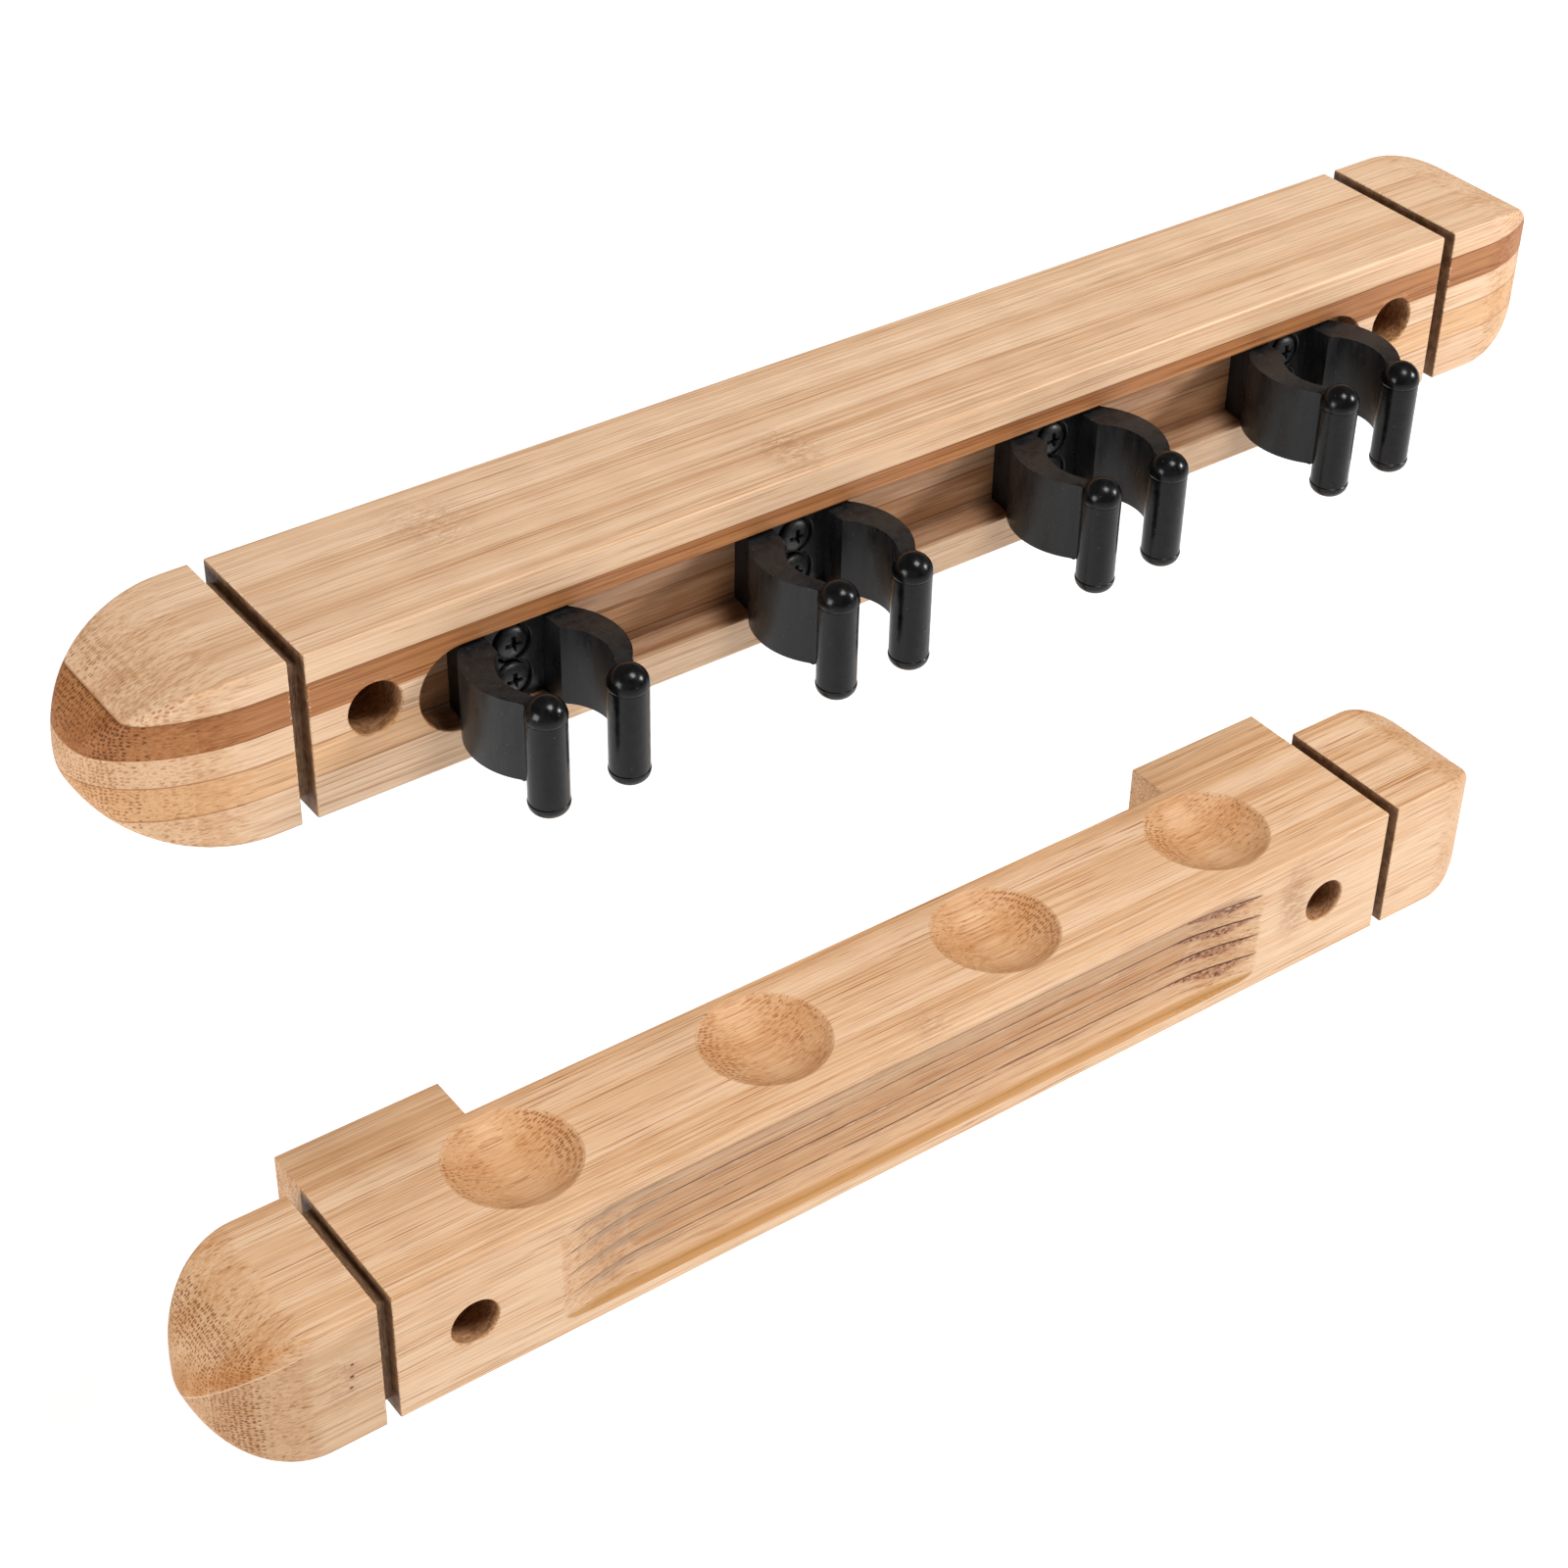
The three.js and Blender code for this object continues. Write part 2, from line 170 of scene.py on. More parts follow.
def set_smooth(obj):
    """Smooth faces, with the edges that turn more than SMOOTH_ANGLE kept sharp."""
    limit = math.radians(SMOOTH_ANGLE)
    work = bmesh.new()
    work.from_mesh(obj.data)
    for face in work.faces:
        face.smooth = True
    for edge in work.edges:
        edge.smooth = len(edge.link_faces) == 2 and edge.calc_face_angle(0.0) < limit
    work.to_mesh(obj.data)
    work.free()


def weight_normals(obj):
    """Large flat faces keep their own normal, so that only the rounded edges shade round."""
    modifier = obj.modifiers.new("weighted_normals", "WEIGHTED_NORMAL")
    modifier.mode = "FACE_AREA"
    modifier.weight = 80
    modifier.keep_sharp = True


def loft(rows, start_pole=None, end_pole=None):
    """A closed bmesh through rings of points, each end closed by a pole or a flat face."""
    work = bmesh.new()
    rings = [[work.verts.new(point) for point in row] for row in rows]
    count = len(rows[0])
    for ring, following in zip(rings, rings[1:]):
        for i in range(count):
            j = (i + 1) % count
            work.faces.new((ring[i], ring[j], following[j], following[i]))
    for ring, pole in ((rings[0], start_pole), (rings[-1], end_pole)):
        if pole is None:
            work.faces.new(ring)
            continue
        tip = work.verts.new(pole)
        for i in range(count):
            work.faces.new((ring[i], ring[(i + 1) % count], tip))
    return work


def lathe(profile, put, steps=64):
    """A closed bmesh turned from (radius, height) points; put sets (a, b, height) in the frame."""
    rows = []
    poles = [None, None]
    for radius, height in profile:
        if radius == 0:
            poles[1 if rows else 0] = put(0.0, 0.0, height)
            continue
        ring = []
        for i in range(steps):
            angle = 2 * math.pi * i / steps
            ring.append(put(radius * math.cos(angle), radius * math.sin(angle), height))
        rows.append(ring)
    return loft(rows, *poles)


def combine(target, tool, operation="DIFFERENCE"):
    """Applies an exact boolean of tool to target and removes tool."""
    modifier = target.modifiers.new("cut", "BOOLEAN")
    modifier.object = tool
    modifier.operation = operation
    modifier.solver = "EXACT"
    bpy.context.view_layer.update()
    graph = bpy.context.evaluated_depsgraph_get()
    made = bpy.data.meshes.new_from_object(target.evaluated_get(graph))
    target.modifiers.clear()
    old = target.data
    target.data = made
    bpy.data.meshes.remove(old)
    bpy.data.objects.remove(tool)
    return target


def copy_of(obj, name, shift=(0.0, 0.0, 0.0), mirror_x=False):
    """A new object with its own mesh, mirrored in x if asked, then moved by millimetres."""
    work = bmesh.new()
    work.from_mesh(obj.data)
    if mirror_x:
        bmesh.ops.scale(work, vec=(-1, 1, 1), verts=work.verts)
        bmesh.ops.reverse_faces(work, faces=work.faces)
    bmesh.ops.translate(work, vec=Vector(shift) * MM, verts=work.verts)
    mesh = bpy.data.meshes.new(name)
    work.to_mesh(mesh)
    work.free()
    return new_object(name, mesh)


def rim_profile(radius, steps=4):
    """(depth, flare) pairs of a rounded rim, from the surface down to the straight wall."""
    pairs = []
    for i in range(steps + 1):
        depth = radius * (1 - math.cos(math.pi / 2 * i / steps))
        pairs.append((depth, radius - math.sqrt(max(0.0, radius**2 - (radius - depth) ** 2))))
    return pairs


# Rails.


def bar_section(half_depth, half_height, front_round, back_round, corner_steps=5, side_steps=4):
    """(y, z) points round a bar's cross-section, with a rounding for each corner."""
    corners = (
        (-1, -1, front_round, 180),
        (1, -1, back_round, 270),
        (1, 1, back_round, 0),
        (-1, 1, front_round, 90),
    )
    arcs = []
    for side_y, side_z, radius, start in corners:
        cy = side_y * (half_depth - radius)
        cz = side_z * (half_height - radius)
        arc = []
        for i in range(corner_steps + 1):
            angle = math.radians(start + 90 * i / corner_steps)
            arc.append((cy + radius * math.cos(angle), cz + radius * math.sin(angle)))
        arcs.append(arc)
    points = []
    for arc, following in zip(arcs, arcs[1:] + arcs[:1]):
        points += arc
        (y0, z0), (y1, z1) = arc[-1], following[0]
        for i in range(1, side_steps):
            t = i / side_steps
            points.append((y0 + (y1 - y0) * t, z0 + (z1 - z0) * t))
    return points


def sawn_edge(face, inward):
    """Stations from a sawn face into the bar, its edge softly broken."""
    stations = []
    for i in range(5):
        angle = math.pi / 2 * i / 4
        inset = SAWN_EDGE_ROUND * (1 - math.sin(angle))
        x = face + inward * SAWN_EDGE_ROUND * (1 - math.cos(angle))
        stations.append((x, RAIL_DEPTH / 2 - inset, RAIL_HEIGHT / 2 - inset, 0.0))
    return stations


def cap_stations(straight, steps=30):
    """(x, half depth, half height, extra rounding) from the kerf out to just before the tip."""
    start = CAP_START + straight
    stations = sawn_edge(CAP_START, 1)
    for i in range(steps):
        t = i / steps
        angle = math.pi / 2 * t
        reach = (RAIL_END - start) * math.sin(angle)
        shrink = math.cos(angle)
        soft = CAP_SOFTENING * t**1.4
        stations.append((start + reach, RAIL_DEPTH / 2 * shrink, RAIL_HEIGHT / 2 * shrink, soft))
    return stations


def body_stations():
    """The body between the kerfs, with its ends' edges broken, and the kerf necks."""
    right = sawn_edge(BODY_END, -1)[::-1]
    for x in (BODY_END, CAP_START):
        right.append((x, RAIL_DEPTH / 2 - KERF_DEPTH, RAIL_HEIGHT / 2 - KERF_DEPTH, 0.0))
    left = [(-x, d, h, r) for x, d, h, r in reversed(right)]
    return left + right


def rail_bar(name, front, top, left_straight, right_straight, back_round):
    """A rail's bar: body, kerf necks and two pillow-shaped caps, as one closed surface."""
    middle_y = front + RAIL_DEPTH / 2
    middle_z = top - RAIL_HEIGHT / 2
    left = [(-x, d, h, r) for x, d, h, r in reversed(cap_stations(left_straight))]
    rows = []
    for x, half_d, half_h, soft in left + body_stations() + cap_stations(right_straight):
        limit = 0.9 * min(half_d, half_h)
        front_r = min(EDGE_ROUND + soft, limit)
        back_r = min(back_round + soft, limit)
        section = bar_section(half_d, half_h, front_r, back_r)
        rows.append([(x, middle_y + y, middle_z + z) for y, z in section])
    tips = ((-RAIL_END, middle_y, middle_z), (RAIL_END, middle_y, middle_z))
    return finish_mesh(name, loft(rows, *tips))


def wall_screw_tool(side, hole, front):
    """The cutter for a counterbored wall screw hole with a softly broken rim."""
    x, z, radius = side * hole["x"], hole["z"], hole["radius"]
    profile = [(0, -2.0), (radius + RIM_ROUND, -2.0)]
    profile += [(radius + flare, depth) for depth, flare in rim_profile(RIM_ROUND)]
    seat = hole["depth"]
    back = -front + 2.0
    profile += [(radius, seat), (WALL_SCREW_RADIUS, seat), (WALL_SCREW_RADIUS, back), (0, back)]
    return finish_mesh("tool", lathe(profile, lambda a, b, h: (x + a, front + h, z + b)))


def recess_tool():
    """The cutter for the long clip recess with round ends and a softly broken rim."""
    straight = RECESS_HALF_LENGTH - RECESS_HALF_HEIGHT
    levels = [(-2.0, RIM_ROUND)] + rim_profile(RIM_ROUND) + [(RECESS_DEPTH, 0.0)]
    rows = []
    for depth, flare in levels:
        radius = RECESS_HALF_HEIGHT + flare
        row = []
        for side in (1, -1):
            for i in range(33):
                angle = math.pi * (i / 32 - 0.5)
                x = side * (straight + radius * math.cos(angle))
                z = RECESS_Z + side * radius * math.sin(angle)
                row.append((x, UPPER_FRONT + depth, z))
        rows.append(row)
    return finish_mesh("tool", loft(rows))


def slab_tool(bottom, top):
    """A box that keeps one board of the upper rail."""
    x, y0, y1 = RAIL_END + TOOL_MARGIN, UPPER_LOW[1] - TOOL_MARGIN, UPPER_HIGH[1] + TOOL_MARGIN
    rows = [[(-x, y0, z), (x, y0, z), (x, y1, z), (-x, y1, z)] for z in (bottom, top)]
    return finish_mesh("tool", loft(rows))


def dish_tool(x):
    """The cutter for one butt dish: a spherical hollow whose rim is slightly rolled."""
    sphere = (DISH_RADIUS**2 + DISH_DEPTH**2) / (2 * DISH_DEPTH)
    bottom = LOWER_TOP - DISH_DEPTH
    rings = 16
    profile = [(0, bottom)]
    for i in range(1, rings + 1):
        radius = (DISH_RADIUS - 0.6) * i / rings
        profile.append((radius, bottom + sphere - math.sqrt(sphere**2 - radius**2)))
    profile += [(DISH_RADIUS - 0.1, LOWER_TOP - 0.09), (DISH_RADIUS + 0.4, LOWER_TOP + 0.02)]
    profile += [(DISH_RADIUS + 0.4, LOWER_TOP + 3.0), (0, LOWER_TOP + 3.0)]
    return finish_mesh("tool", lathe(profile, lambda a, b, h: (x + a, DISH_Y + b, h), 72))


def cove_tool():
    """The cutter for the broad front cove, which runs out at both ends."""
    steps = 22
    cut = 0.03
    stations = []
    for i in range(17):
        u = 1 - i / 16
        x = COVE_HALF_LENGTH - COVE_RUNOUT * u
        stations.append((x, COVE_DEPTH * math.sin(math.pi / 2 * u) ** 1.15))
    whole = [(-x, depth) for x, depth in reversed(stations)] + stations
    rows = []
    for x, depth in whole:
        row = [(x, LOWER_FRONT - 1.0, COVE_TOP)]
        for i in range(steps + 1):
            t = math.cos(math.pi * i / steps)
            y = LOWER_FRONT - cut + (depth + cut) * (1 - t**4)
            row.append((x, y, COVE_MIDDLE + COVE_HALF_HEIGHT * t))
        row.append((x, LOWER_FRONT - 1.0, COVE_BOTTOM))
        rows.append(row)
    return finish_mesh("tool", loft(rows))


def upper_rail():
    """The three glued boards of the upper rail."""
    bar = rail_bar("upper_bar", UPPER_FRONT, UPPER_TOP, 6.0, 11.0, EDGE_ROUND)
    combine(bar, recess_tool())
    for side in (-1, 1):
        combine(bar, wall_screw_tool(side, UPPER_HOLE, UPPER_FRONT))
    levels = (
        ("top_board", "upper_rail_top_board", DARK_TOP, UPPER_TOP + TOOL_MARGIN, "light_bamboo"),
        ("dark_strip", "upper_rail_dark_strip", CORE_TOP, DARK_TOP, "dark_bamboo"),
        ("core_board", "upper_rail_core_board", UPPER_LOW[2] - TOOL_MARGIN, CORE_TOP, "light_bamboo"),
    )
    boards = []
    for name, node, bottom, top, slot in levels:
        board = combine(copy_of(bar, name), slab_tool(bottom, top), "INTERSECT")
        boards.append(place(board, "rack", slot, node))
    bpy.data.objects.remove(bar)
    return boards


def lower_rail():
    """The lower bar with its cove, dishes and holes."""
    bar = rail_bar("lower_bar", LOWER_FRONT, LOWER_TOP, 14.0, 17.0, GLUED_EDGE_ROUND)
    combine(bar, cove_tool())
    for i in range(CLIP_COUNT):
        combine(bar, dish_tool((i - (CLIP_COUNT - 1) / 2) * DISH_PITCH))
    for side in (-1, 1):
        combine(bar, wall_screw_tool(side, LOWER_HOLE, LOWER_FRONT))
    return place(bar, "rack", "light_bamboo", "lower_rail_bar")


def stand_off_block(word, side):
    """A block behind one end of the lower bar, its free edges softly broken."""
    low, high = node_box(f"lower_rail_{word}_block")
    work = bmesh.new()
    bmesh.ops.create_cube(work, size=1.0)
    size = [b - a for a, b in zip(low, high)]
    middle = [(a + b) / 2 for a, b in zip(low, high)]
    bmesh.ops.scale(work, vec=size, verts=work.verts)
    bmesh.ops.translate(work, vec=middle, verts=work.verts)
    joined = low[1] + 0.01
    free = [e for e in work.edges if not all(v.co.y < joined for v in e.verts)]
    bmesh.ops.bevel(work, geom=free, offset=0.4, segments=3, profile=0.5, affect="EDGES")
    block = finish_mesh(f"{word}_block", work)
    combine(block, wall_screw_tool(side, LOWER_HOLE, LOWER_FRONT))
    return place(block, "rack", "light_bamboo", f"lower_rail_{word}_block")


def place(obj, body, slot, *nodes):
    """Shades a rigid piece, ties it to its body and hides its CAD nodes; the slot is not used."""
    set_smooth(obj)
    weight_normals(obj)
    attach(obj, body)
    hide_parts(*nodes)
    return obj


def paint(obj, material):
    """Gives an object one material."""
    obj.data.materials.clear()
    obj.data.materials.append(material)


# Clips.


def arc_points(radius, centre_y, start, end, steps):
    """(x, y) points on a circle round (0, centre_y), angles in degrees."""
    points = []
    for i in range(steps + 1):
        angle = math.radians(start + (end - start) * i / steps)
        points.append((radius * math.cos(angle), centre_y + radius * math.sin(angle)))
    return points


def at_left_prong(a, b, height):
    """A point given from the left prong's axis, in the clip's frame."""
    return (-PRONG_X + a, PRONG_Y + b, height)


def half_clip_outline():
    """The left half of the C seen from above, from the channel floor round to the pad's back."""
    inner_start = 180 - math.degrees(math.acos(CHANNEL_HALF_WIDTH / RING_INNER_R))
    inner_end = 180 + math.degrees(math.acos(PRONG_X / RING_INNER_R))
    outer_start = 180 + math.degrees(math.acos(PRONG_X / RING_OUTER_R))
    outer_end = 180 - math.degrees(math.acos(PAD_HALF_WIDTH / RING_OUTER_R))
    parting = 224.0
    ridge = 0.16
    outline = [(0.0, CHANNEL_FLOOR_Y), (-CHANNEL_HALF_WIDTH, CHANNEL_FLOOR_Y)]
    outline += arc_points(RING_INNER_R, RING_INNER_Y, inner_start, inner_end, 34)
    outline += arc_points(RING_OUTER_R, RING_OUTER_Y, outer_start, parting + 1.0, 5)
    outline += arc_points(RING_OUTER_R + ridge, RING_OUTER_Y, parting + 0.4, parting - 0.4, 2)
    outline += arc_points(RING_OUTER_R, RING_OUTER_Y, parting - 1.0, outer_end, 30)
    outline += [(-PAD_HALF_WIDTH, RECESS_DEPTH - 0.02), (0.0, RECESS_DEPTH - 0.02)]
    return outline


def half_clip():
    """The left half of a clip in its own frame: wall, pad, screw pockets and prong core."""
    work = bmesh.new()
    outline = half_clip_outline()
    bottom = [work.verts.new((x, y, -CLIP_HALF_HEIGHT)) for x, y in outline]
    top = [work.verts.new((x, y, CLIP_HALF_HEIGHT)) for x, y in outline]
    count = len(outline)
    for i in range(count):
        j = (i + 1) % count
        work.faces.new((bottom[i], bottom[j], top[j], top[i]))
    work.faces.new(top)
    work.faces.new(list(reversed(bottom)))
    rims = []
    for edge in work.edges:
        a, b = (v.co for v in edge.verts)
        level = abs(a.z - b.z) < 1e-6
        middle = abs(a.x) < 1e-6 and abs(b.x) < 1e-6
        if level and not middle:
            rims.append(edge)
    bmesh.ops.bevel(work, geom=rims, offset=CLIP_EDGE, segments=3, profile=0.5, affect="EDGES")
    half = finish_mesh("half_clip", work)
    for level in (-1, 1):
        z = level * SCREW_OFFSET
        profile = [(0, CHANNEL_FLOOR_Y - 4.0), (POCKET_R + POCKET_CHAMFER, CHANNEL_FLOOR_Y - 4.0)]
        profile.append((POCKET_R + POCKET_CHAMFER, CHANNEL_FLOOR_Y))
        profile.append((POCKET_R, CHANNEL_FLOOR_Y + POCKET_CHAMFER))
        profile += [(POCKET_R, SCREW_SEAT_Y), (0, SCREW_SEAT_Y)]
        combine(half, finish_mesh("tool", lathe(profile, lambda a, b, h: (a, h, z + b), 56)))
    core = capsule_profile(PRONG_R, SLEEVE_BOTTOM + SLEEVE_END_THICKNESS, SLEEVE_TOP - SLEEVE_END_THICKNESS)
    combine(half, finish_mesh("tool", lathe(core, at_left_prong, 40)), "UNION")
    return half


def capsule_profile(radius, bottom, top, rings=7):
    """(radius, height) points of a round pin with domed ends."""
    profile = [(0, bottom)]
    for i in range(1, rings + 1):
        angle = math.pi / 2 * i / rings
        profile.append((radius * math.sin(angle), bottom + radius * (1 - math.cos(angle))))
    for i in range(rings):
        angle = math.pi / 2 * i / rings
        profile.append((radius * math.cos(angle), top - radius * (1 - math.sin(angle))))
    profile.append((0, top))
    return profile


def sleeve_profile():
    """(radius, height) of the rubber sleeve: dome, a seam under it, and a rolled foot."""
    body = SLEEVE_R - 0.12
    foot = 3.0
    profile = [(0, SLEEVE_BOTTOM)]
    for i in range(1, 9):
        angle = math.pi / 2 * i / 8
        height = SLEEVE_BOTTOM + foot * (1 - math.cos(angle))
        profile.append((SLEEVE_R * math.sin(angle) ** 0.92, height))
    seam = SLEEVE_BOTTOM + foot
    profile += [(SLEEVE_R, seam + 0.25), (body - 0.06, seam + 0.42), (body, seam + 0.8)]
    lip = SLEEVE_TOP - SLEEVE_R
    profile += [(body, lip - 0.9), (body - 0.07, lip - 0.5), (SLEEVE_R - 0.02, lip - 0.25)]
    for i in range(12):
        angle = math.pi / 2 * i / 12
        profile.append((SLEEVE_R * math.cos(angle), lip + SLEEVE_R * math.sin(angle)))
    profile.append((0, SLEEVE_TOP))
    return profile


def left_sleeve():
    """The left sleeve in the clip's frame, hollow round the prong and slotted for the arm."""
    sleeve = finish_mesh("sleeve", lathe(sleeve_profile(), at_left_prong, 56))
    wall = SLEEVE_END_THICKNESS - PRONG_GAP
    hollow = capsule_profile(PRONG_R + PRONG_GAP, SLEEVE_BOTTOM + wall, SLEEVE_TOP - wall)
    combine(sleeve, finish_mesh("tool", lathe(hollow, at_left_prong, 40)))
    outline = []
    for radius, centre, start, end in (
        (RING_INNER_R - 0.06, RING_INNER_Y, 200, 236),
        (RING_OUTER_R + 0.06, RING_OUTER_Y, 246, 200),
    ):
        outline += arc_points(radius, centre, start, end, 16)
    height = CLIP_HALF_HEIGHT + 0.06
    rows = [[(x, y, z) for x, y in outline] for z in (-height, height)]
    return combine(sleeve, finish_mesh("tool", loft(rows)))


def cross_recess_tool():
    """The tapered cross of a Phillips recess, pointing into the head along +Y."""
    made = None
    for turn in (0, 1):
        rows = []
        for y, long, wide in ((-0.6, 2.2, 0.62), (0.0, 2.05, 0.55), (1.5, 0.9, 0.34)):
            half = (long, wide) if turn == 0 else (wide, long)
            rows.append([(sx * half[0], SCREW_HEAD_FRONT_Y + y, sz * half[1])
                         for sx, sz in ((-1, -1), (1, -1), (1, 1), (-1, 1))])
        arm = finish_mesh("tool", loft(rows))
        made = arm if made is None else combine(made, arm, "UNION")
    return made


def clip_screw():
    """A pan-head wood screw along +Y with a cross recess and a threaded shank."""
    height = SCREW_SEAT_Y - SCREW_HEAD_FRONT_Y
    profile = [(0, SCREW_HEAD_FRONT_Y)]
    for i in range(1, 9):
        angle = math.pi / 2 * i / 8
        drop = (height - 0.5) * (1 - math.cos(angle) ** 0.8)
        profile.append((SCREW_HEAD_R * math.sin(angle), SCREW_HEAD_FRONT_Y + drop))
    profile += [(SCREW_HEAD_R, SCREW_SEAT_Y - 0.1), (SCREW_HEAD_R - 0.1, SCREW_SEAT_Y)]
    profile.append((SCREW_NECK_R, SCREW_SEAT_Y))
    turns = 11
    for i in range(turns):
        y = SCREW_SEAT_Y + 1.0 + i * SCREW_PITCH
        shrink = 1 - 0.5 * max(0, i - turns + 4) / 4
        core, crest = SCREW_CORE_R * shrink, SCREW_THREAD_R * shrink
        profile += [(core, y), (crest, y + 0.5), (core, y + 0.75)]
    profile.append((0, SCREW_TIP_Y))
    screw = finish_mesh("screw", lathe(profile, lambda a, b, h: (a, h, b), 44))
    return combine(screw, cross_recess_tool())


def clip_side(index, word, origin, half, sleeve, blacks):
    """One half of a C with its rubber sleeve; the right one is mirrored."""
    mirrored = word == "right"
    body = f"clip_{index}_{word}_arm_body"
    arm = copy_of(half, f"clip_{index}_{word}_half", origin, mirrored)
    set_smooth(arm)
    weight_normals(arm)
    paint(arm, blacks["black_plastic"])
    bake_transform(arm)
    nodes = [f"clip_{index}_{word}_arm"]
    if word == "left":
        nodes.append(f"clip_{index}_base")
    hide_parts(*nodes)
    skin = copy_of(sleeve, f"clip_{index}_{word}_rubber_sleeve", origin, mirrored)
    paint(skin, blacks["black_rubber"])
    place(skin, body, "black_rubber", f"clip_{index}_{word}_sleeve")


def clips(blacks):
    """Four clips: each C in two halves, two sleeves and two screws."""
    half = half_clip()
    sleeve = left_sleeve()
    screw = clip_screw()
    for index in range(1, CLIP_COUNT + 1):
        low, high = node_box(f"clip_{index}_base")
        x, z = (low[0] + high[0]) / 2, (low[2] + high[2]) / 2
        for word in ("left", "right"):
            clip_side(index, word, (x, UPPER_FRONT, z), half, sleeve, blacks)
        for word, level in (("upper", 1), ("lower", -1)):
            spot = (x, UPPER_FRONT, z + level * SCREW_OFFSET)
            piece = copy_of(screw, f"clip_{index}_{word}_pan_screw", spot)
            paint(piece, blacks["black_steel"])
            place(piece, "rack", "black_steel", f"clip_{index}_{word}_screw")
    for obj in (half, sleeve, screw):
        bpy.data.objects.remove(obj)


# Material tools.


class Graph:
    """A short way to write a material's nodes. Positions are in millimetres."""

    def __init__(self, name):
        self.material = bpy.data.materials.new(name)
        self.material.use_nodes = True
        self.tree = self.material.node_tree
        self.shader = self.tree.nodes["Principled BSDF"]
        spot = self.tree.nodes.new("ShaderNodeTexCoord").outputs["Object"]
        self.position = self.vector("SCALE", spot, scale=1 / MM)
        self.normal = self.tree.nodes.new("ShaderNodeNewGeometry").outputs["Normal"]
        self.x, self.y, self.z = self.split(self.position)
        self.away = self.math("ABSOLUTE", self.x)
        self.lean = self.math("ABSOLUTE", self.split(self.normal)[0])

    def feed(self, socket, value):
        if isinstance(value, bpy.types.NodeSocket):
            self.tree.links.new(value, socket)
        elif value is not None:
            socket.default_value = value

    def math(self, operation, a, b=None):
        node = self.tree.nodes.new("ShaderNodeMath")
        node.operation = operation
        self.feed(node.inputs[0], a)
        self.feed(node.inputs[1], b)
        return node.outputs[0]

    def vector(self, operation, a, b=None, scale=None):
        node = self.tree.nodes.new("ShaderNodeVectorMath")
        node.operation = operation
        self.feed(node.inputs[0], a)
        self.feed(node.inputs[1], b)
        if scale is not None:
            node.inputs["Scale"].default_value = scale
        return node.outputs["Value" if operation == "LENGTH" else "Vector"]

    def split(self, vector):
        node = self.tree.nodes.new("ShaderNodeSeparateXYZ")
        self.feed(node.inputs[0], vector)
        return node.outputs

    def join(self, x, y, z):
        node = self.tree.nodes.new("ShaderNodeCombineXYZ")
        for socket, value in zip(node.inputs, (x, y, z)):
            self.feed(socket, value)
        return node.outputs[0]

    def noise(self, vector, scale, detail=2.0, roughness=0.5):
        node = self.tree.nodes.new("ShaderNodeTexNoise")
        self.feed(node.inputs["Vector"], vector)
        node.inputs["Scale"].default_value = scale
        node.inputs["Detail"].default_value = detail
        node.inputs["Roughness"].default_value = roughness
        return node.outputs["Fac"]

    def cells(self, vector, scale, randomness=0.9):
        node = self.tree.nodes.new("ShaderNodeTexVoronoi")
        self.feed(node.inputs["Vector"], vector)
        node.inputs["Scale"].default_value = scale
        node.inputs["Randomness"].default_value = randomness
        return node

    def random(self, value):
        """A fixed random number from 0 to 1 for each whole value."""
        node = self.tree.nodes.new("ShaderNodeTexWhiteNoise")
        node.noise_dimensions = "1D"
        self.feed(node.inputs["W"], self.math("FLOOR", value))
        return node.outputs["Value"]

    def step(self, value, low, high, start=0.0, end=1.0):
        """Smoothly from start at low to end at high, and flat outside."""
        node = self.tree.nodes.new("ShaderNodeMapRange")
        node.interpolation_type = "SMOOTHSTEP"
        self.feed(node.inputs["Value"], value)
        for name, number in (
            ("From Min", low),
            ("From Max", high),
            ("To Min", start),
            ("To Max", end),
        ):
            node.inputs[name].default_value = number
        return node.outputs[0]

    def between(self, value, low, high, soft):
        """1 between low and high, 0 outside."""
        rise = self.step(value, low - soft, low)
        fall = self.step(value, high, high + soft, 1.0, 0.0)
        return self.math("MULTIPLY", rise, fall)

    def blob(self, centre, radii, core):
        """1 inside an ellipsoid, fading to 0 at its surface."""
        away = self.vector("SUBTRACT", self.position, centre)
        scaled = self.vector("DIVIDE", away, radii)
        return self.step(self.vector("LENGTH", scaled), core, 1.0, 1.0, 0.0)

    def mix(self, amount, a, b, blend="MIX"):
        node = self.tree.nodes.new("ShaderNodeMix")
        node.data_type = "RGBA"
        node.blend_type = blend
        self.feed(node.inputs["Factor"], amount)
        self.feed(node.inputs[6], colour(a))
        self.feed(node.inputs[7], colour(b))
        return node.outputs[2]

    def plus(self, a, b):
        return self.math("ADD", a, b)

    def minus(self, a, b):
        return self.math("SUBTRACT", a, b)

    def stretched(self, scales, detail, roughness=0.5, scale=1.0):
        """Noise over the position, with its own scale along each axis."""
        return self.noise(self.vector("MULTIPLY", self.position, scales), scale, detail, roughness)

    def times(self, *values):
        made = values[0]
        for value in values[1:]:
            made = self.math("MULTIPLY", made, value)
        return made

    def surface(self, body, rough, specular=0.5):
        self.feed(self.shader.inputs["Base Color"], body)
        self.feed(self.shader.inputs["Roughness"], rough)
        self.feed(self.shader.inputs["Specular IOR Level"], specular)

    def bump(self, height, distance_mm, strength=1.0):
        node = self.tree.nodes.new("ShaderNodeBump")
        node.inputs["Strength"].default_value = strength
        node.inputs["Distance"].default_value = distance_mm * MM
        self.feed(node.inputs["Height"], height)
        self.feed(self.shader.inputs["Normal"], node.outputs[0])


def colour(value):
    """Three linear numbers become a colour with alpha; sockets pass through."""
    if isinstance(value, tuple) and len(value) == 3:
        return (*value, 1.0)
    return value


# Bamboo.


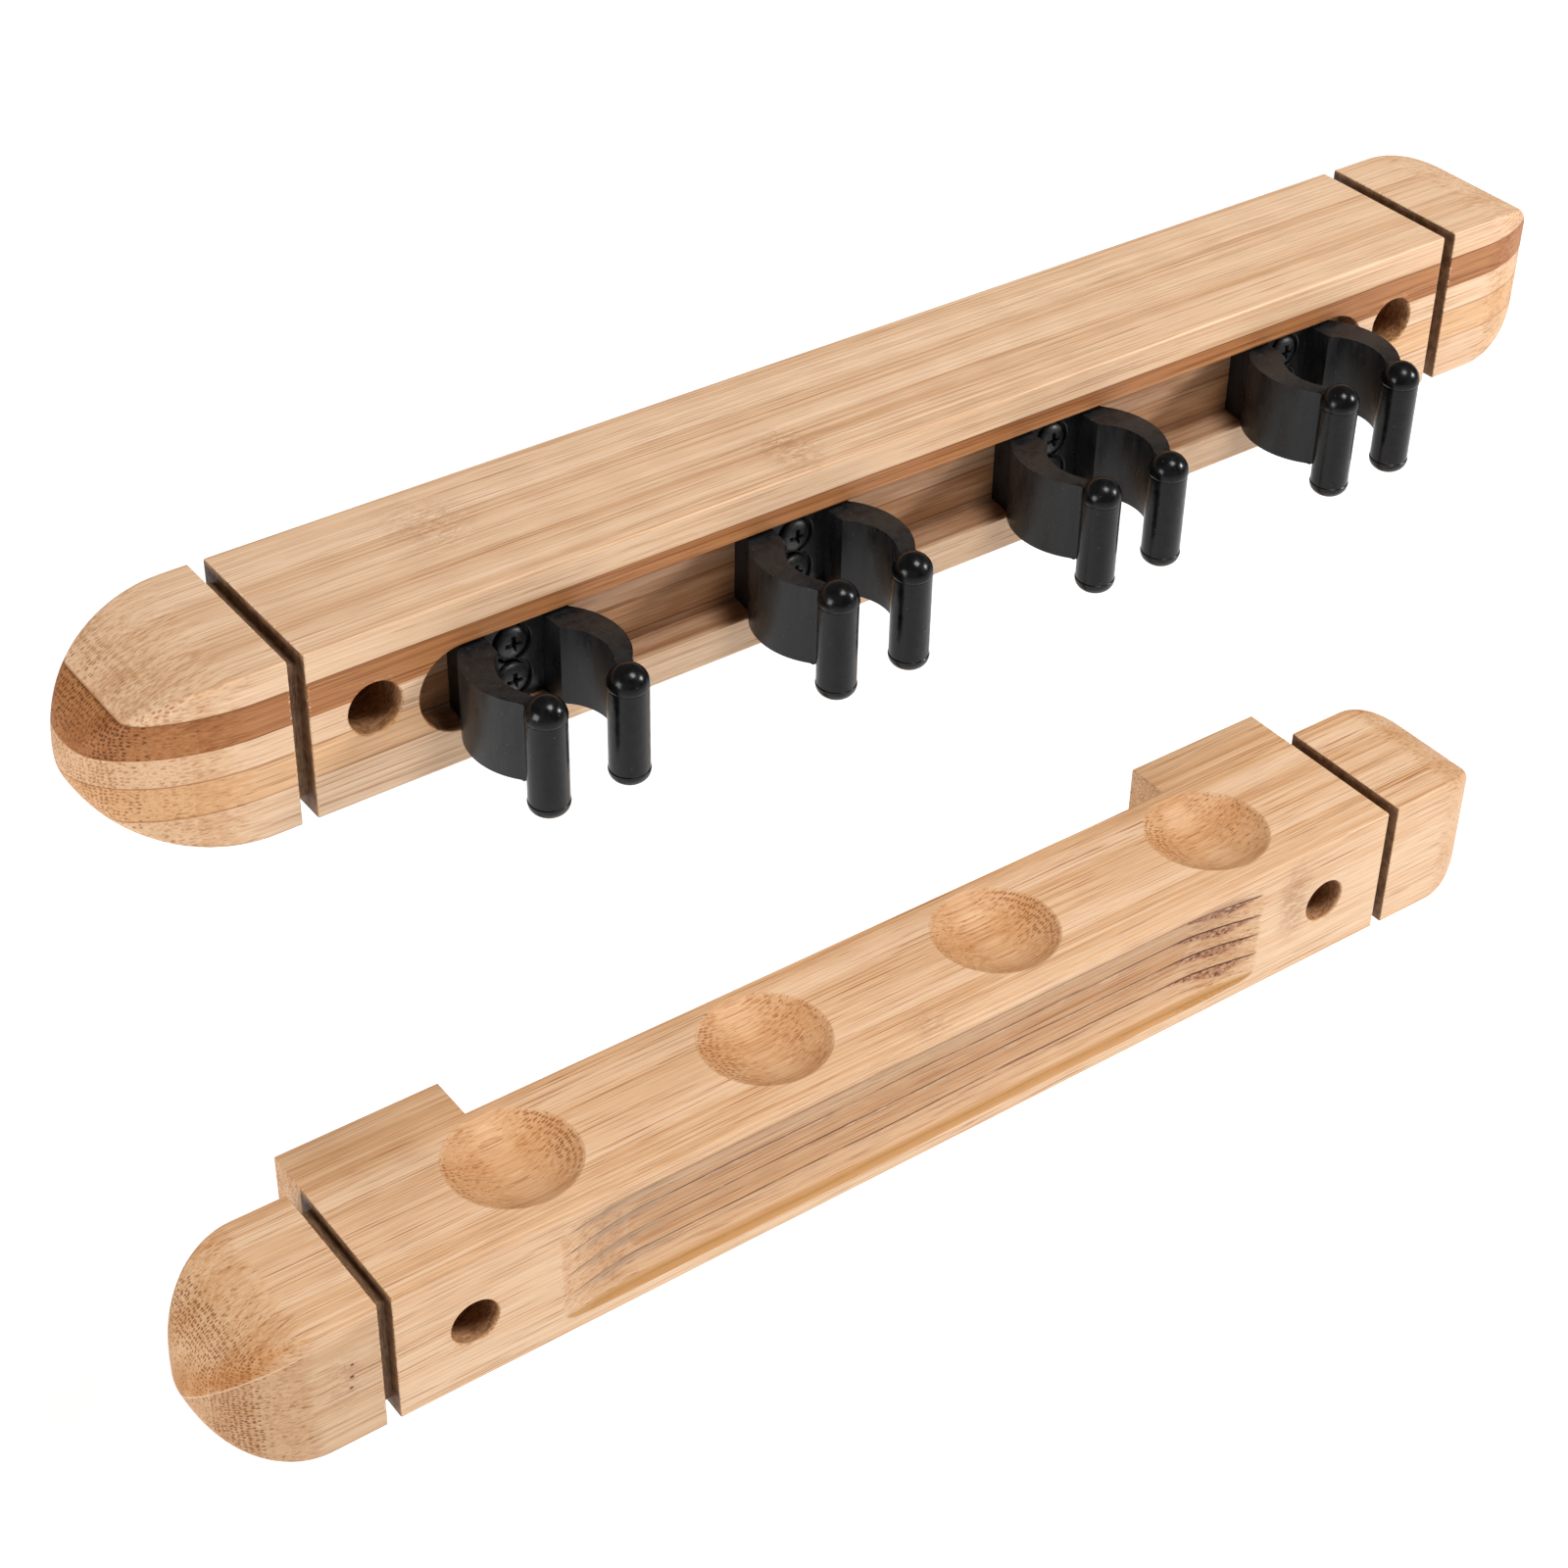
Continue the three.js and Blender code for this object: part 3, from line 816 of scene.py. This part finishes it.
LIGHT = (0.655, 0.435, 0.275)
PALE = (0.740, 0.530, 0.365)
DEEP = (0.520, 0.300, 0.160)
STREAK = (0.270, 0.105, 0.036)
WARM_LIGHT = (0.640, 0.402, 0.232)
WARM_PALE = (0.715, 0.500, 0.330)
WARM_DEEP = (0.515, 0.278, 0.128)
WARM_STREAK = (0.290, 0.098, 0.028)
DARK_LIGHT = (0.370, 0.155, 0.058)
DARK_PALE = (0.450, 0.215, 0.092)
DARK_DEEP = (0.255, 0.092, 0.030)
DARK_STREAK = (0.090, 0.028, 0.008)
SCORCH = (0.085, 0.032, 0.012)
# Painted ochre shade: the cove's bottom crease, and the lower left cap's patch.
OCHRE_PAINTED_SHADE = (0.430, 0.215, 0.070)
STRIP_HEIGHT = 6.5
LOWER_OFFSET = (310.0, -140.0, 5.0)
NODE_BROWN = (0.330, 0.150, 0.070)
CUT_END_TINT = (0.86, 0.77, 0.66)
# Painted shade for the clip recess, multiplied in.
RECESS_SHADE_TINT = (0.42, 0.25, 0.14)
DISH_TINT = (0.94, 0.80, 0.62)
COVE_TINT = (0.79, 0.71, 0.63)
TORN_BROWN = (0.31, 0.185, 0.105)
HAIRLINE_BROWN = (0.26, 0.13, 0.065)
SEAM_BROWN = (0.110, 0.042, 0.015)
PALE_HAIR = (0.82, 0.66, 0.50)
TEAR_BROWN = (0.35, 0.235, 0.155)
TEAR_DARK = (0.14, 0.070, 0.036)
BURN_START = 72.0
BURN_BROWN = (0.34, 0.145, 0.078)
BURN_DARK = (0.105, 0.034, 0.020)
BURN_SEAM = (0.045, 0.014, 0.008)
# Kerf walls: saw burn together with painted shade.
KERF_DARK_BURN_AND_SHADE = (0.120, 0.062, 0.032)
KERF_BROWN_BURN_AND_SHADE = (0.270, 0.150, 0.080)
HOLE_DARK = (0.16, 0.062, 0.022)
HOLE_BROWN = (0.34, 0.165, 0.070)
JOINT_GREY = (0.84, 0.82, 0.79)
JOINT_OCHRE = (0.78, 0.56, 0.32)
STAIN_BROWN = (0.36, 0.175, 0.085)
GLUE_TINT = (0.93, 0.80, 0.62)
FIBRE_SWAY = 1.2


def wavy_fibres(g, offset):
    """The moved position's x, and its y and z swaying slowly along the fibres."""
    base = g.vector("ADD", g.position, offset)
    x, y, z = g.split(base)
    slow = g.vector("MULTIPLY", base, (0.011, 0.03, 0.03))
    turned = g.vector("ADD", slow, (7.3, 1.9, 4.1))
    sway_y = g.times(g.minus(g.noise(slow, 1.0, 1.0), 0.5), FIBRE_SWAY)
    sway_z = g.times(g.minus(g.noise(turned, 1.0, 1.0), 0.5), FIBRE_SWAY)
    return x, g.plus(y, sway_y), g.plus(z, sway_z)


def glued_layers(g, body, bands, glue, line_colour):
    """Tinted bands between two heights, and thin glue lines at given heights."""
    for low, high, shade, amount in bands:
        body = g.mix(g.times(g.between(g.z, low, high, 0.15), amount), body, shade, "MULTIPLY")
    for level in glue:
        line = g.between(g.z, level - 0.10, level + 0.10, 0.14)
        body = g.mix(g.times(line, 0.62), body, line_colour)
    return body


def bamboo(name, palette, offset, marks, dot_strength=0.75, end_shade=0.0, bands=(), glue=(), contrast=1.0):
    """Laminated bamboo: fibres along x as a solid texture, so that cut ends show dots."""
    pale, light, deep, streak_colour = palette
    g = Graph(name)
    x, fy, fz = wavy_fibres(g, offset)
    fibre = g.join(g.times(x, 0.013), fy, fz)
    long_fibre = g.join(g.times(x, 0.006), fy, fz)
    fine = g.noise(fibre, 3.2, 3.0, 0.65)
    middle = g.noise(long_fibre, 1.7, 2.0, 0.6)
    broad = g.noise(long_fibre, 0.16, 1.0, 0.5)
    thread = g.noise(g.vector("ADD", fibre, (3.0, 41.0, 17.0)), 2.6, 2.0, 0.5)

    strip = g.random(g.math("DIVIDE", fy, STRIP_HEIGHT))
    tone = g.plus(g.times(middle, 0.54), g.times(broad, 0.32))
    tone = g.plus(tone, g.times(strip, 0.14))
    body = g.mix(g.step(tone, 0.34, 0.49), deep, light)
    body = g.mix(g.step(tone, 0.46, 0.64), body, pale)
    body = g.mix(g.times(g.step(fine, 0.50, 0.36), 0.40 * contrast), body, deep)
    body = g.mix(g.times(g.step(fine, 0.54, 0.66), 0.34 * contrast), body, pale)

    g.end = g.step(g.lean, 0.10, 0.60)
    bundles = g.cells(g.join(g.times(x, 0.05), fy, fz), 1.30, 0.45)
    dot = g.step(bundles.outputs["Distance"], 0.38, 0.27)
    patchy = g.step(g.noise(g.join(g.times(x, 0.01), fy, fz), 0.11, 1.0), 0.36, 0.56, 0.60, 1.0)
    g.dots = g.times(dot, patchy)
    cut_ends = g.times(g.step(g.lean, 0.0, 0.24), end_shade)
    body = g.mix(cut_ends, body, CUT_END_TINT, "MULTIPLY")
    threads = g.times(g.step(thread, 0.59, 0.64), g.step(middle, 0.60, 0.44, 0.30, 1.0))
    body = g.mix(g.times(threads, 0.48 * contrast**1.8), body, streak_colour)
    body = g.mix(g.times(g.dots, g.step(g.end, 0.0, 1.0, 0.14, dot_strength)), body, streak_colour)
    body = glued_layers(g, body, bands, glue, streak_colour)

    height = g.plus(g.times(fine, 0.5), g.times(threads, -0.5))
    height = g.plus(height, g.times(g.dots, g.end, -0.7))
    for mark in marks:
        body, height = mark(g, body, height)
    sheen = g.plus(g.times(fine, 0.16), g.times(g.end, 0.10))
    g.surface(body, g.plus(sheen, 0.36), 0.15)
    g.bump(height, 0.07, 0.8)
    return g.material


def kerf_mark(g, body, height):
    """Saw kerfs: dark brown inside, saw burn together with painted shade for the narrow slot, and pale torn
    fibres on the edges.
    """
    away = g.away
    inside = g.between(away, BODY_END - 0.02, CAP_START + 0.02, 0.03)
    edge = g.between(away, BODY_END - 0.38, CAP_START + 0.38, 0.15)
    torn = g.stretched((0.9, 1.6, 1.6), 2.0)
    chips = g.times(edge, g.step(torn, 0.50, 0.62))
    body = g.mix(g.times(chips, 0.55), body, PALE)
    # Painted shade and saw burn: the kerf walls are painted dark inside the narrow slot.
    saw = g.step(g.stretched((3.0, 0.4, 0.4), 2.0), 0.3, 0.7)
    wall_colour = g.mix(saw, KERF_DARK_BURN_AND_SHADE, KERF_BROWN_BURN_AND_SHADE)
    return g.mix(g.times(inside, 0.90), body, wall_colour), height


def hole_mark(hole, front):
    """A drilled hole: its wall painted dark brown, and a few torn fibres round the rim."""

    def mark(g, body, height):
        dx = g.minus(g.away, hole["x"])
        dz = g.minus(g.z, hole["z"])
        reach = g.math("SQRT", g.plus(g.times(dx, dx), g.times(dz, dz)))
        near = g.step(reach, hole["radius"] + 0.25, hole["radius"] + 0.1)
        deep = g.step(g.y, front + 0.25, front + 1.1)
        drill = g.stretched((0.5, 1.0, 0.5), 2.0, scale=1.3)
        wall_colour = g.mix(g.step(drill, 0.35, 0.65), HOLE_DARK, HOLE_BROWN)
        body = g.mix(g.times(near, deep, 0.82), body, wall_colour)
        ring = g.between(reach, hole["radius"] + 0.1, hole["radius"] + 1.1, 0.6)
        ragged = g.step(g.stretched((0.5, 1.5, 1.5), 2.0), 0.56, 0.66)
        body = g.mix(g.times(ring, ragged, 0.5), body, DEEP)
        return body, height

    return mark


def node_mark(centre, radii, strength):
    """A bamboo node: a mottled reddish patch with small pits, short along the fibres."""

    def mark(g, body, height):
        area = g.blob(centre, radii, 0.15)
        mottle = g.stretched((0.35, 1.1, 1.1), 3.0, 0.65)
        cloud = g.times(area, g.step(mottle, 0.38, 0.62))
        pits = g.stretched((1.3, 2.0, 2.0), 2.0)
        pit = g.times(area, g.step(pits, 0.63, 0.72))
        body = g.mix(g.times(cloud, strength), body, NODE_BROWN)
        body = g.mix(g.times(pit, strength), body, SCORCH)
        return body, g.minus(height, g.times(pit, 1.2))

    return mark


def recess_painted_shade(g, body, height):
    """Painted shade in the routed recess: its faces are darkened unevenly, standing in for the shade there.
    """
    deep = g.step(g.y, UPPER_FRONT + 0.4, UPPER_FRONT + 1.5)
    long = g.step(g.away, RECESS_HALF_LENGTH + 0.3, RECESS_HALF_LENGTH + 0.1)
    low = g.between(g.z, RECESS_Z - 9.9, RECESS_Z + 9.9, 0.05)
    front = g.step(g.y, UPPER_FRONT + RECESS_DEPTH + 0.3, UPPER_FRONT + RECESS_DEPTH + 0.1)
    area = g.times(deep, long, low, front)
    # Noise that makes the painted shade in the recess uneven.
    shade_patches = g.stretched((0.06, 0.5, 0.5), 2.0)
    shade = g.step(shade_patches, 0.35, 0.65, 0.55, 0.80)
    return g.mix(g.times(area, shade), body, RECESS_SHADE_TINT, "MULTIPLY"), height


def dish_mark(g, body, height):
    """The turned dishes: deeper orange, with crisp end grain at the left and right."""
    bottom = LOWER_TOP - DISH_DEPTH
    front_edge = DISH_Y - DISH_RADIUS
    last_edge = (CLIP_COUNT - 1) / 2 * DISH_PITCH + DISH_RADIUS
    sunk = g.step(g.z, LOWER_TOP - 0.12, LOWER_TOP - 0.7)
    above = g.step(g.z, bottom - 0.6, bottom - 0.2)
    behind = g.step(g.y, front_edge - 1.9, front_edge - 0.9)
    along = g.step(g.away, last_edge + 3.45, last_edge + 1.45)
    area = g.times(sunk, above, behind, along)
    grain = g.stretched((0.10, 0.9, 1.6), 3.0, 0.6, 1.3)
    body = g.mix(g.times(area, 0.55), body, DISH_TINT, "MULTIPLY")
    body = g.mix(g.times(area, g.step(grain, 0.52, 0.64), 0.45), body, DEEP)
    body = g.mix(g.times(area, g.step(g.lean, 0.12, 0.42), g.dots, 0.75), body, STREAK)
    return body, height


def cove_mark(g, body, height):
    """The cove opens the glued strips; its left end is torn and its right end scorched."""
    depth = g.minus(g.y, LOWER_FRONT)
    shallow = g.step(depth, COVE_DEPTH + 0.4, COVE_DEPTH + 0.2)
    along = g.step(g.away, COVE_HALF_LENGTH + 0.2, COVE_HALF_LENGTH - 0.8)
    tall = g.between(g.z, COVE_BOTTOM + 0.1, COVE_TOP, 0.2)
    cut = g.times(g.step(depth, 0.15, 0.90), shallow, along, tall)
    torn = g.stretched((0.05, 0.0, 0.5), 3.0, 0.6)
    reach = g.plus(g.away, g.times(torn, 24.0))
    area = g.times(cut, g.step(reach, COVE_HALF_LENGTH + 11.0, COVE_HALF_LENGTH - 3.0))
    wander = g.stretched((0.02, 0.0, 0.08), 2.0)
    below = g.plus(g.minus(COVE_FIRST_SEAM, g.z), g.times(wander, 1.6))
    phase = g.math("FRACT", g.math("DIVIDE", below, STRIP_HEIGHT))
    shred = g.stretched((0.10, 1.0, 2.6), 3.0, 0.65)
    under = g.times(area, g.step(phase, 0.55, 0.06))

    body = g.mix(g.times(area, 0.85), body, COVE_TINT, "MULTIPLY")
    fibres = g.times(under, g.step(shred, 0.47, 0.62))
    body = g.mix(g.times(fibres, 0.60), body, TORN_BROWN)
    half_way = g.math("FRACT", g.plus(g.math("DIVIDE", below, STRIP_HEIGHT), 0.42))
    hairline = g.times(g.step(half_way, 0.09, 0.03), g.step(shred, 0.46, 0.58))
    body = g.mix(g.times(area, hairline, 0.55), body, HAIRLINE_BROWN)
    seam = g.step(phase, 0.10, 0.03)
    body = g.mix(g.times(cut, seam, g.step(shred, 0.34, 0.46), 0.90), body, SEAM_BROWN)
    pale_hair = g.times(g.between(phase, 0.10, 0.16, 0.04), g.step(shred, 0.58, 0.64))
    body = g.mix(g.times(area, pale_hair, 0.6), body, PALE_HAIR)
    height = g.minus(height, g.times(area, seam, 0.5))
    height = g.minus(height, g.times(fibres, 0.4))

    body = cove_tear(g, body, under, shred)
    opened = g.times(shallow, tall, g.step(depth, 0.02, 0.20))
    body, height = cove_burn(g, body, height, opened, phase)
    # Painted shade: an ochre band along the cove's bottom crease, where shade falls.
    ochre = g.between(g.z, COVE_BOTTOM + 0.3, COVE_BOTTOM + 1.6, 1.2)
    ochre = g.times(ochre, shallow, along, g.step(depth, 0.03, 0.12))
    return g.mix(g.times(ochre, 0.85), body, OCHRE_PAINTED_SHADE), height


def cove_tear(g, body, under, shred):
    """The cove's left end: darker and more torn under each seam."""
    left = g.times(under, g.step(g.x, 40.0 - COVE_HALF_LENGTH, 14.0 - COVE_HALF_LENGTH))
    body = g.mix(g.times(left, 0.75), body, TEAR_BROWN)
    return g.mix(g.times(left, g.step(shred, 0.54, 0.64), 0.7), body, TEAR_DARK)


def cove_burn(g, body, height, opened, phase):
    """The cove's right end: ragged scorching that widens under each seam towards the end."""
    mottle = g.stretched((0.7, 1.0, 1.3), 3.0, 0.6)
    widen = g.step(g.x, BURN_START, BURN_START + 26.0, 0.02, 0.56)
    inside = g.step(g.minus(phase, widen), 0.06, -0.06)
    ragged = g.plus(g.x, g.plus(g.times(mottle, 8.0), g.times(phase, 18.0)))
    before_end = g.step(ragged, COVE_HALF_LENGTH + 5.0, COVE_HALF_LENGTH + 1.0)
    burn = g.times(inside, g.step(g.x, BURN_START, BURN_START + 12.0), before_end, opened)
    body = g.mix(g.times(burn, g.step(mottle, 0.36, 0.50), 0.75), body, BURN_BROWN)
    body = g.mix(g.times(burn, g.step(mottle, 0.52, 0.60), 0.90), body, BURN_DARK)
    body = g.mix(g.times(burn, g.step(phase, 0.10, 0.03), 0.95), body, BURN_SEAM)
    return body, g.minus(height, g.times(burn, g.step(mottle, 0.4, 0.6), 1.6))


def stain_and_shade_mark(centre, radii, shade, strength):
    """A soft coloured patch, uneven at its edge: a stain in the wood, and on the lower left cap painted
    shade.
    """

    def mark(g, body, height):
        cloud = g.stretched((0.30, 0.9, 0.9), 3.0, 0.6)
        area = g.times(g.blob(centre, radii, 0.05), g.step(cloud, 0.40, 0.60, 0.25, 1.0))
        return g.mix(g.times(area, strength), body, shade), height

    return mark


def cap_joint_mark(g, body, height):
    """The lower rail's left cap shows how its strips are glued: a pale line, ochre wood above it."""
    cap = g.step(g.x, -CAP_START + 0.1, -CAP_START - 0.1)
    back = g.times(g.minus(g.y, LOWER_FRONT), 0.75)
    along = g.times(g.x, -0.115)
    rise = g.plus(g.minus(g.z, LOWER_TOP + 14.6), g.plus(back, along))
    low = g.step(rise, 0.1, -0.1)
    seam_y = LOWER_FRONT + RAIL_DEPTH / 2 + 1.0
    ahead = g.step(g.y, seam_y + 0.1, seam_y - 0.1)
    body = g.mix(g.times(cap, low, ahead, 0.9), body, JOINT_GREY, "MULTIPLY")
    cloud = g.stretched((0.05, 0.16, 0.16), 2.0)
    near = g.times(g.step(rise, -0.1, 0.1), g.step(rise, 13.0, 1.0))
    sharp = g.step(g.end, 0.15, 0.80)
    ochre = g.times(cap, near, sharp, g.step(cloud, 0.35, 0.60, 0.45, 0.95))
    body = g.mix(ochre, body, JOINT_OCHRE, "MULTIPLY")
    body = g.mix(g.times(cap, sharp, g.dots, 0.35), body, SCORCH)
    pale = g.times(cap, ahead, g.step(g.end, 0.02, 0.12), g.between(rise, -0.15, 0.15, 0.15))
    body = g.mix(g.times(pale, 0.55), body, PALE)
    dark = g.times(cap, low, g.between(g.y, seam_y - 0.12, seam_y + 0.12, 0.12))
    return g.mix(g.times(dark, 0.5), body, STREAK), height


def speck_mark(x, drop, radius):
    """A small dark borer speck on the lower rail's front, a drop below its top."""

    def mark(g, body, height):
        centre = (x, LOWER_FRONT, LOWER_TOP - drop)
        spot = g.blob(centre, (radius * 1.4, 3.0, radius), 0.55)
        return g.mix(g.times(spot, 0.9), body, SCORCH), height

    return mark


def bamboo_materials():
    """The woods: one for each board of the upper rail, the lower bar and its blocks."""
    light = (PALE, LIGHT, DEEP, STREAK)
    warm = (WARM_PALE, WARM_LIGHT, WARM_DEEP, WARM_STREAK)
    dark = (DARK_PALE, DARK_LIGHT, DARK_DEEP, DARK_STREAK)
    upper_hole = hole_mark(UPPER_HOLE, UPPER_FRONT)
    lower_hole = hole_mark(LOWER_HOLE, LOWER_FRONT)
    core_glue = (UPPER_TOP - 0.54 * RAIL_HEIGHT, UPPER_TOP - 0.74 * RAIL_HEIGHT)
    top = bamboo(
        "light_bamboo_top",
        light,
        (40.0, 13.0, 61.0),
        [
            node_mark((-106.0, -14.0, UPPER_TOP), (13.0, 15.0, 5.0), 0.40),
            node_mark((-31.0, -31.0, UPPER_TOP), (9.0, 12.0, 6.0), 0.55),
            kerf_mark,
        ],
        glue=(DARK_TOP,),
        end_shade=0.35,
        contrast=0.85,
    )
    core = bamboo(
        "light_bamboo_core",
        light,
        (-210.0, 77.0, 22.0),
        [recess_painted_shade, upper_hole, kerf_mark],
        end_shade=0.9,
        bands=((core_glue[1], core_glue[0], GLUE_TINT, 0.75),),
        glue=core_glue,
    )
    strip = bamboo(
        "dark_bamboo_strip",
        dark,
        (95.0, -33.0, 140.0),
        [recess_painted_shade, upper_hole, kerf_mark],
        dot_strength=0.85,
        end_shade=0.9,
        glue=(DARK_TOP,),
    )
    middle_y = LOWER_FRONT + RAIL_DEPTH / 2
    lower = bamboo(
        "light_bamboo_lower",
        warm,
        LOWER_OFFSET,
        [
            # Partly the cap's ochre tone, partly painted shade: this patch stands in for the shade of a
            # facet that is not modelled.
            stain_and_shade_mark((-188.0, LOWER_FRONT + 18.0, LOWER_TOP - 17.0), (8.0, 10.0, 8.0), OCHRE_PAINTED_SHADE, 0.60),
            stain_and_shade_mark((117.0, LOWER_FRONT, LOWER_TOP - 14.0), (9.0, 6.0, 19.0), STAIN_BROWN, 0.60),
            node_mark((116.0, LOWER_FRONT, LOWER_TOP - 13.0), (6.0, 8.0, 17.0), 0.35),
            node_mark((-161.0, LOWER_FRONT, LOWER_TOP - 18.0), (8.0, 6.0, 14.0), 0.35),
            node_mark((0.0, middle_y - 16.0, LOWER_TOP), (9.0, 7.0, 4.0), 0.35),
            speck_mark(-158.5, 14.0, 0.42),
            speck_mark(-158.8, 17.6, 0.50),
            speck_mark(-159.2, 20.8, 0.45),
            cap_joint_mark,
            dish_mark,
            cove_mark,
            lower_hole,
            kerf_mark,
        ],
        end_shade=0.75,
        contrast=1.2,
    )
    block = bamboo("light_bamboo_block", warm, LOWER_OFFSET, [lower_hole], contrast=1.2)
    return {"top": top, "core": core, "strip": strip, "lower": lower, "block": block}


# Blacks.


def black_plastic():
    """Moulded black plastic: satin, with fine texture, scuffs and a little dust."""
    g = Graph("black_plastic")
    grain = g.noise(g.position, 3.5, 3.0, 0.6)
    flow = g.stretched((0.5, 0.5, 0.12), 3.0, 0.6, 0.9)
    scuff = g.stretched((2.2, 2.2, 0.35), 4.0, 0.7)
    scuffs = g.step(scuff, 0.60, 0.72)
    specks = g.cells(g.position, 0.55, 1.0)
    dust = g.step(specks.outputs["Distance"], 0.10, 0.05)
    body = g.mix(g.step(flow, 0.35, 0.65), (0.0070, 0.0070, 0.0073), (0.0140, 0.0140, 0.0144))
    body = g.mix(g.times(scuffs, 0.30), body, (0.055, 0.055, 0.056))
    body = g.mix(g.times(dust, 0.35), body, (0.16, 0.15, 0.14))
    rough = g.plus(g.step(flow, 0.3, 0.7, 0.26, 0.38), g.times(scuffs, 0.16))
    g.surface(body, rough, 0.24)
    height = g.plus(g.times(grain, 0.25), g.plus(g.times(flow, 1.6), scuffs))
    g.bump(height, 0.03, 0.7)
    return g.material


def black_rubber():
    """Smooth dipped rubber: glossier, with a soft uneven skin."""
    g = Graph("black_rubber")
    skin = g.noise(g.position, 0.55, 2.0, 0.5)
    fine = g.noise(g.position, 5.0, 2.0, 0.6)
    specks = g.cells(g.position, 0.42, 1.0)
    dust = g.step(specks.outputs["Distance"], 0.09, 0.04)
    body = g.mix(g.step(skin, 0.35, 0.65), (0.0030, 0.0030, 0.0032), (0.0060, 0.0060, 0.0063))
    body = g.mix(g.times(dust, 0.30), body, (0.14, 0.14, 0.135))
    g.surface(body, g.step(skin, 0.3, 0.7, 0.19, 0.27), 0.19)
    g.bump(g.plus(g.times(skin, 2.4), g.times(fine, 0.04)), 0.04, 0.5)
    return g.material


def black_steel():
    """Black-finished screw steel, worn a little brighter in places."""
    g = Graph("black_steel")
    turn = g.noise(g.position, 2.6, 3.0, 0.6)
    rub = g.step(g.noise(g.position, 1.1, 3.0, 0.7), 0.55, 0.70)
    body = g.mix(g.step(turn, 0.3, 0.7), (0.014, 0.014, 0.014), (0.032, 0.031, 0.030))
    body = g.mix(g.times(rub, 0.35), body, (0.10, 0.10, 0.098))
    g.surface(body, g.step(turn, 0.3, 0.7, 0.38, 0.55))
    g.shader.inputs["Metallic"].default_value = 0.35
    g.bump(turn, 0.02, 0.6)
    return g.material


# Setting.


CAMERA_YAW = 36.434
CAMERA_PITCH = 37.310
CAMERA_ROLL = 1.123
CAMERA_PLACE = (-350.96, -464.57, 343.82)
CAMERA_LENS = 70.456
FLOOR_Z = -420.0


def make_camera():
    """The camera at the photograph's angle, turned by yaw, pitch and roll."""
    data = bpy.data.cameras.new("camera")
    data.lens = CAMERA_LENS
    data.sensor_width = 36.0
    data.clip_start = 0.01
    data.clip_end = 50.0
    camera = new_object("camera", data)
    yaw = Matrix.Rotation(math.radians(-CAMERA_YAW), 4, "Z")
    pitch = Matrix.Rotation(math.radians(90 - CAMERA_PITCH), 4, "X")
    roll = Matrix.Rotation(math.radians(CAMERA_ROLL), 4, "Z")
    move = Matrix.Translation(Vector(CAMERA_PLACE) * MM)
    camera.matrix_world = move @ yaw @ pitch @ roll
    bpy.context.scene.camera = camera


def area_light(name, place_mm, target_mm, size_mm, power):
    """A soft square light at a place, facing a target."""
    data = bpy.data.lights.new(name, "AREA")
    data.shape = "SQUARE"
    data.size = size_mm * MM
    data.energy = power
    light = new_object(name, data)
    start, end = Vector(place_mm) * MM, Vector(target_mm) * MM
    light.location = start
    light.rotation_euler = (end - start).to_track_quat("-Z", "Y").to_euler()


def make_setting():
    """A pale floor, dim plain surroundings, and soft lights from the right, left and top."""
    world = bpy.data.worlds.new("studio")
    world.use_nodes = True
    backdrop = world.node_tree.nodes["Background"]
    backdrop.inputs["Color"].default_value = (1.0, 1.0, 1.0, 1.0)
    backdrop.inputs["Strength"].default_value = 0.12
    bpy.context.scene.world = world
    work = bmesh.new()
    half = 6000.0
    corners = [(-half, -half), (half, -half), (half, half), (-half, half)]
    work.faces.new([work.verts.new((x, y, FLOOR_Z)) for x, y in corners])
    floor = finish_mesh("floor", work)
    g = Graph("pale_floor")
    cloud = g.noise(g.position, 0.004, 2.0)
    g.surface(g.mix(cloud, (0.93, 0.93, 0.93), (0.96, 0.96, 0.96)), 0.9)
    g.shader.inputs["Emission Color"].default_value = (1.0, 1.0, 1.0, 1.0)
    far = g.vector("LENGTH", g.vector("MULTIPLY", g.position, (1.0, 1.0, 0.0)))
    g.feed(g.shader.inputs["Emission Strength"], g.step(far, 250.0, 1100.0, 0.46, 0.78))
    floor.data.materials.append(g.material)
    middle = (0.0, -30.0, -70.0)
    area_light("key", (820.0, -640.0, 480.0), middle, 220.0, 9.4)
    area_light("left", (-1050.0, -130.0, 240.0), middle, 420.0, 6.6)
    area_light("top", (120.0, -430.0, 950.0), middle, 340.0, 8.4)
    view = bpy.context.scene.view_settings
    view.view_transform = "Standard"
    view.look = "None"


# The rack.


def main():
    """Builds every piece with its finish, then the camera and the setting."""
    woods = bamboo_materials()
    blacks = {
        "black_plastic": black_plastic(),
        "black_rubber": black_rubber(),
        "black_steel": black_steel(),
    }
    for board, wood in zip(upper_rail(), ("top", "strip", "core")):
        paint(board, woods[wood])
    paint(lower_rail(), woods["lower"])
    for block in (stand_off_block("left", -1), stand_off_block("right", 1)):
        paint(block, woods["block"])
    clips(blacks)
    make_camera()
    make_setting()


main()
bpy.context.view_layer.update()
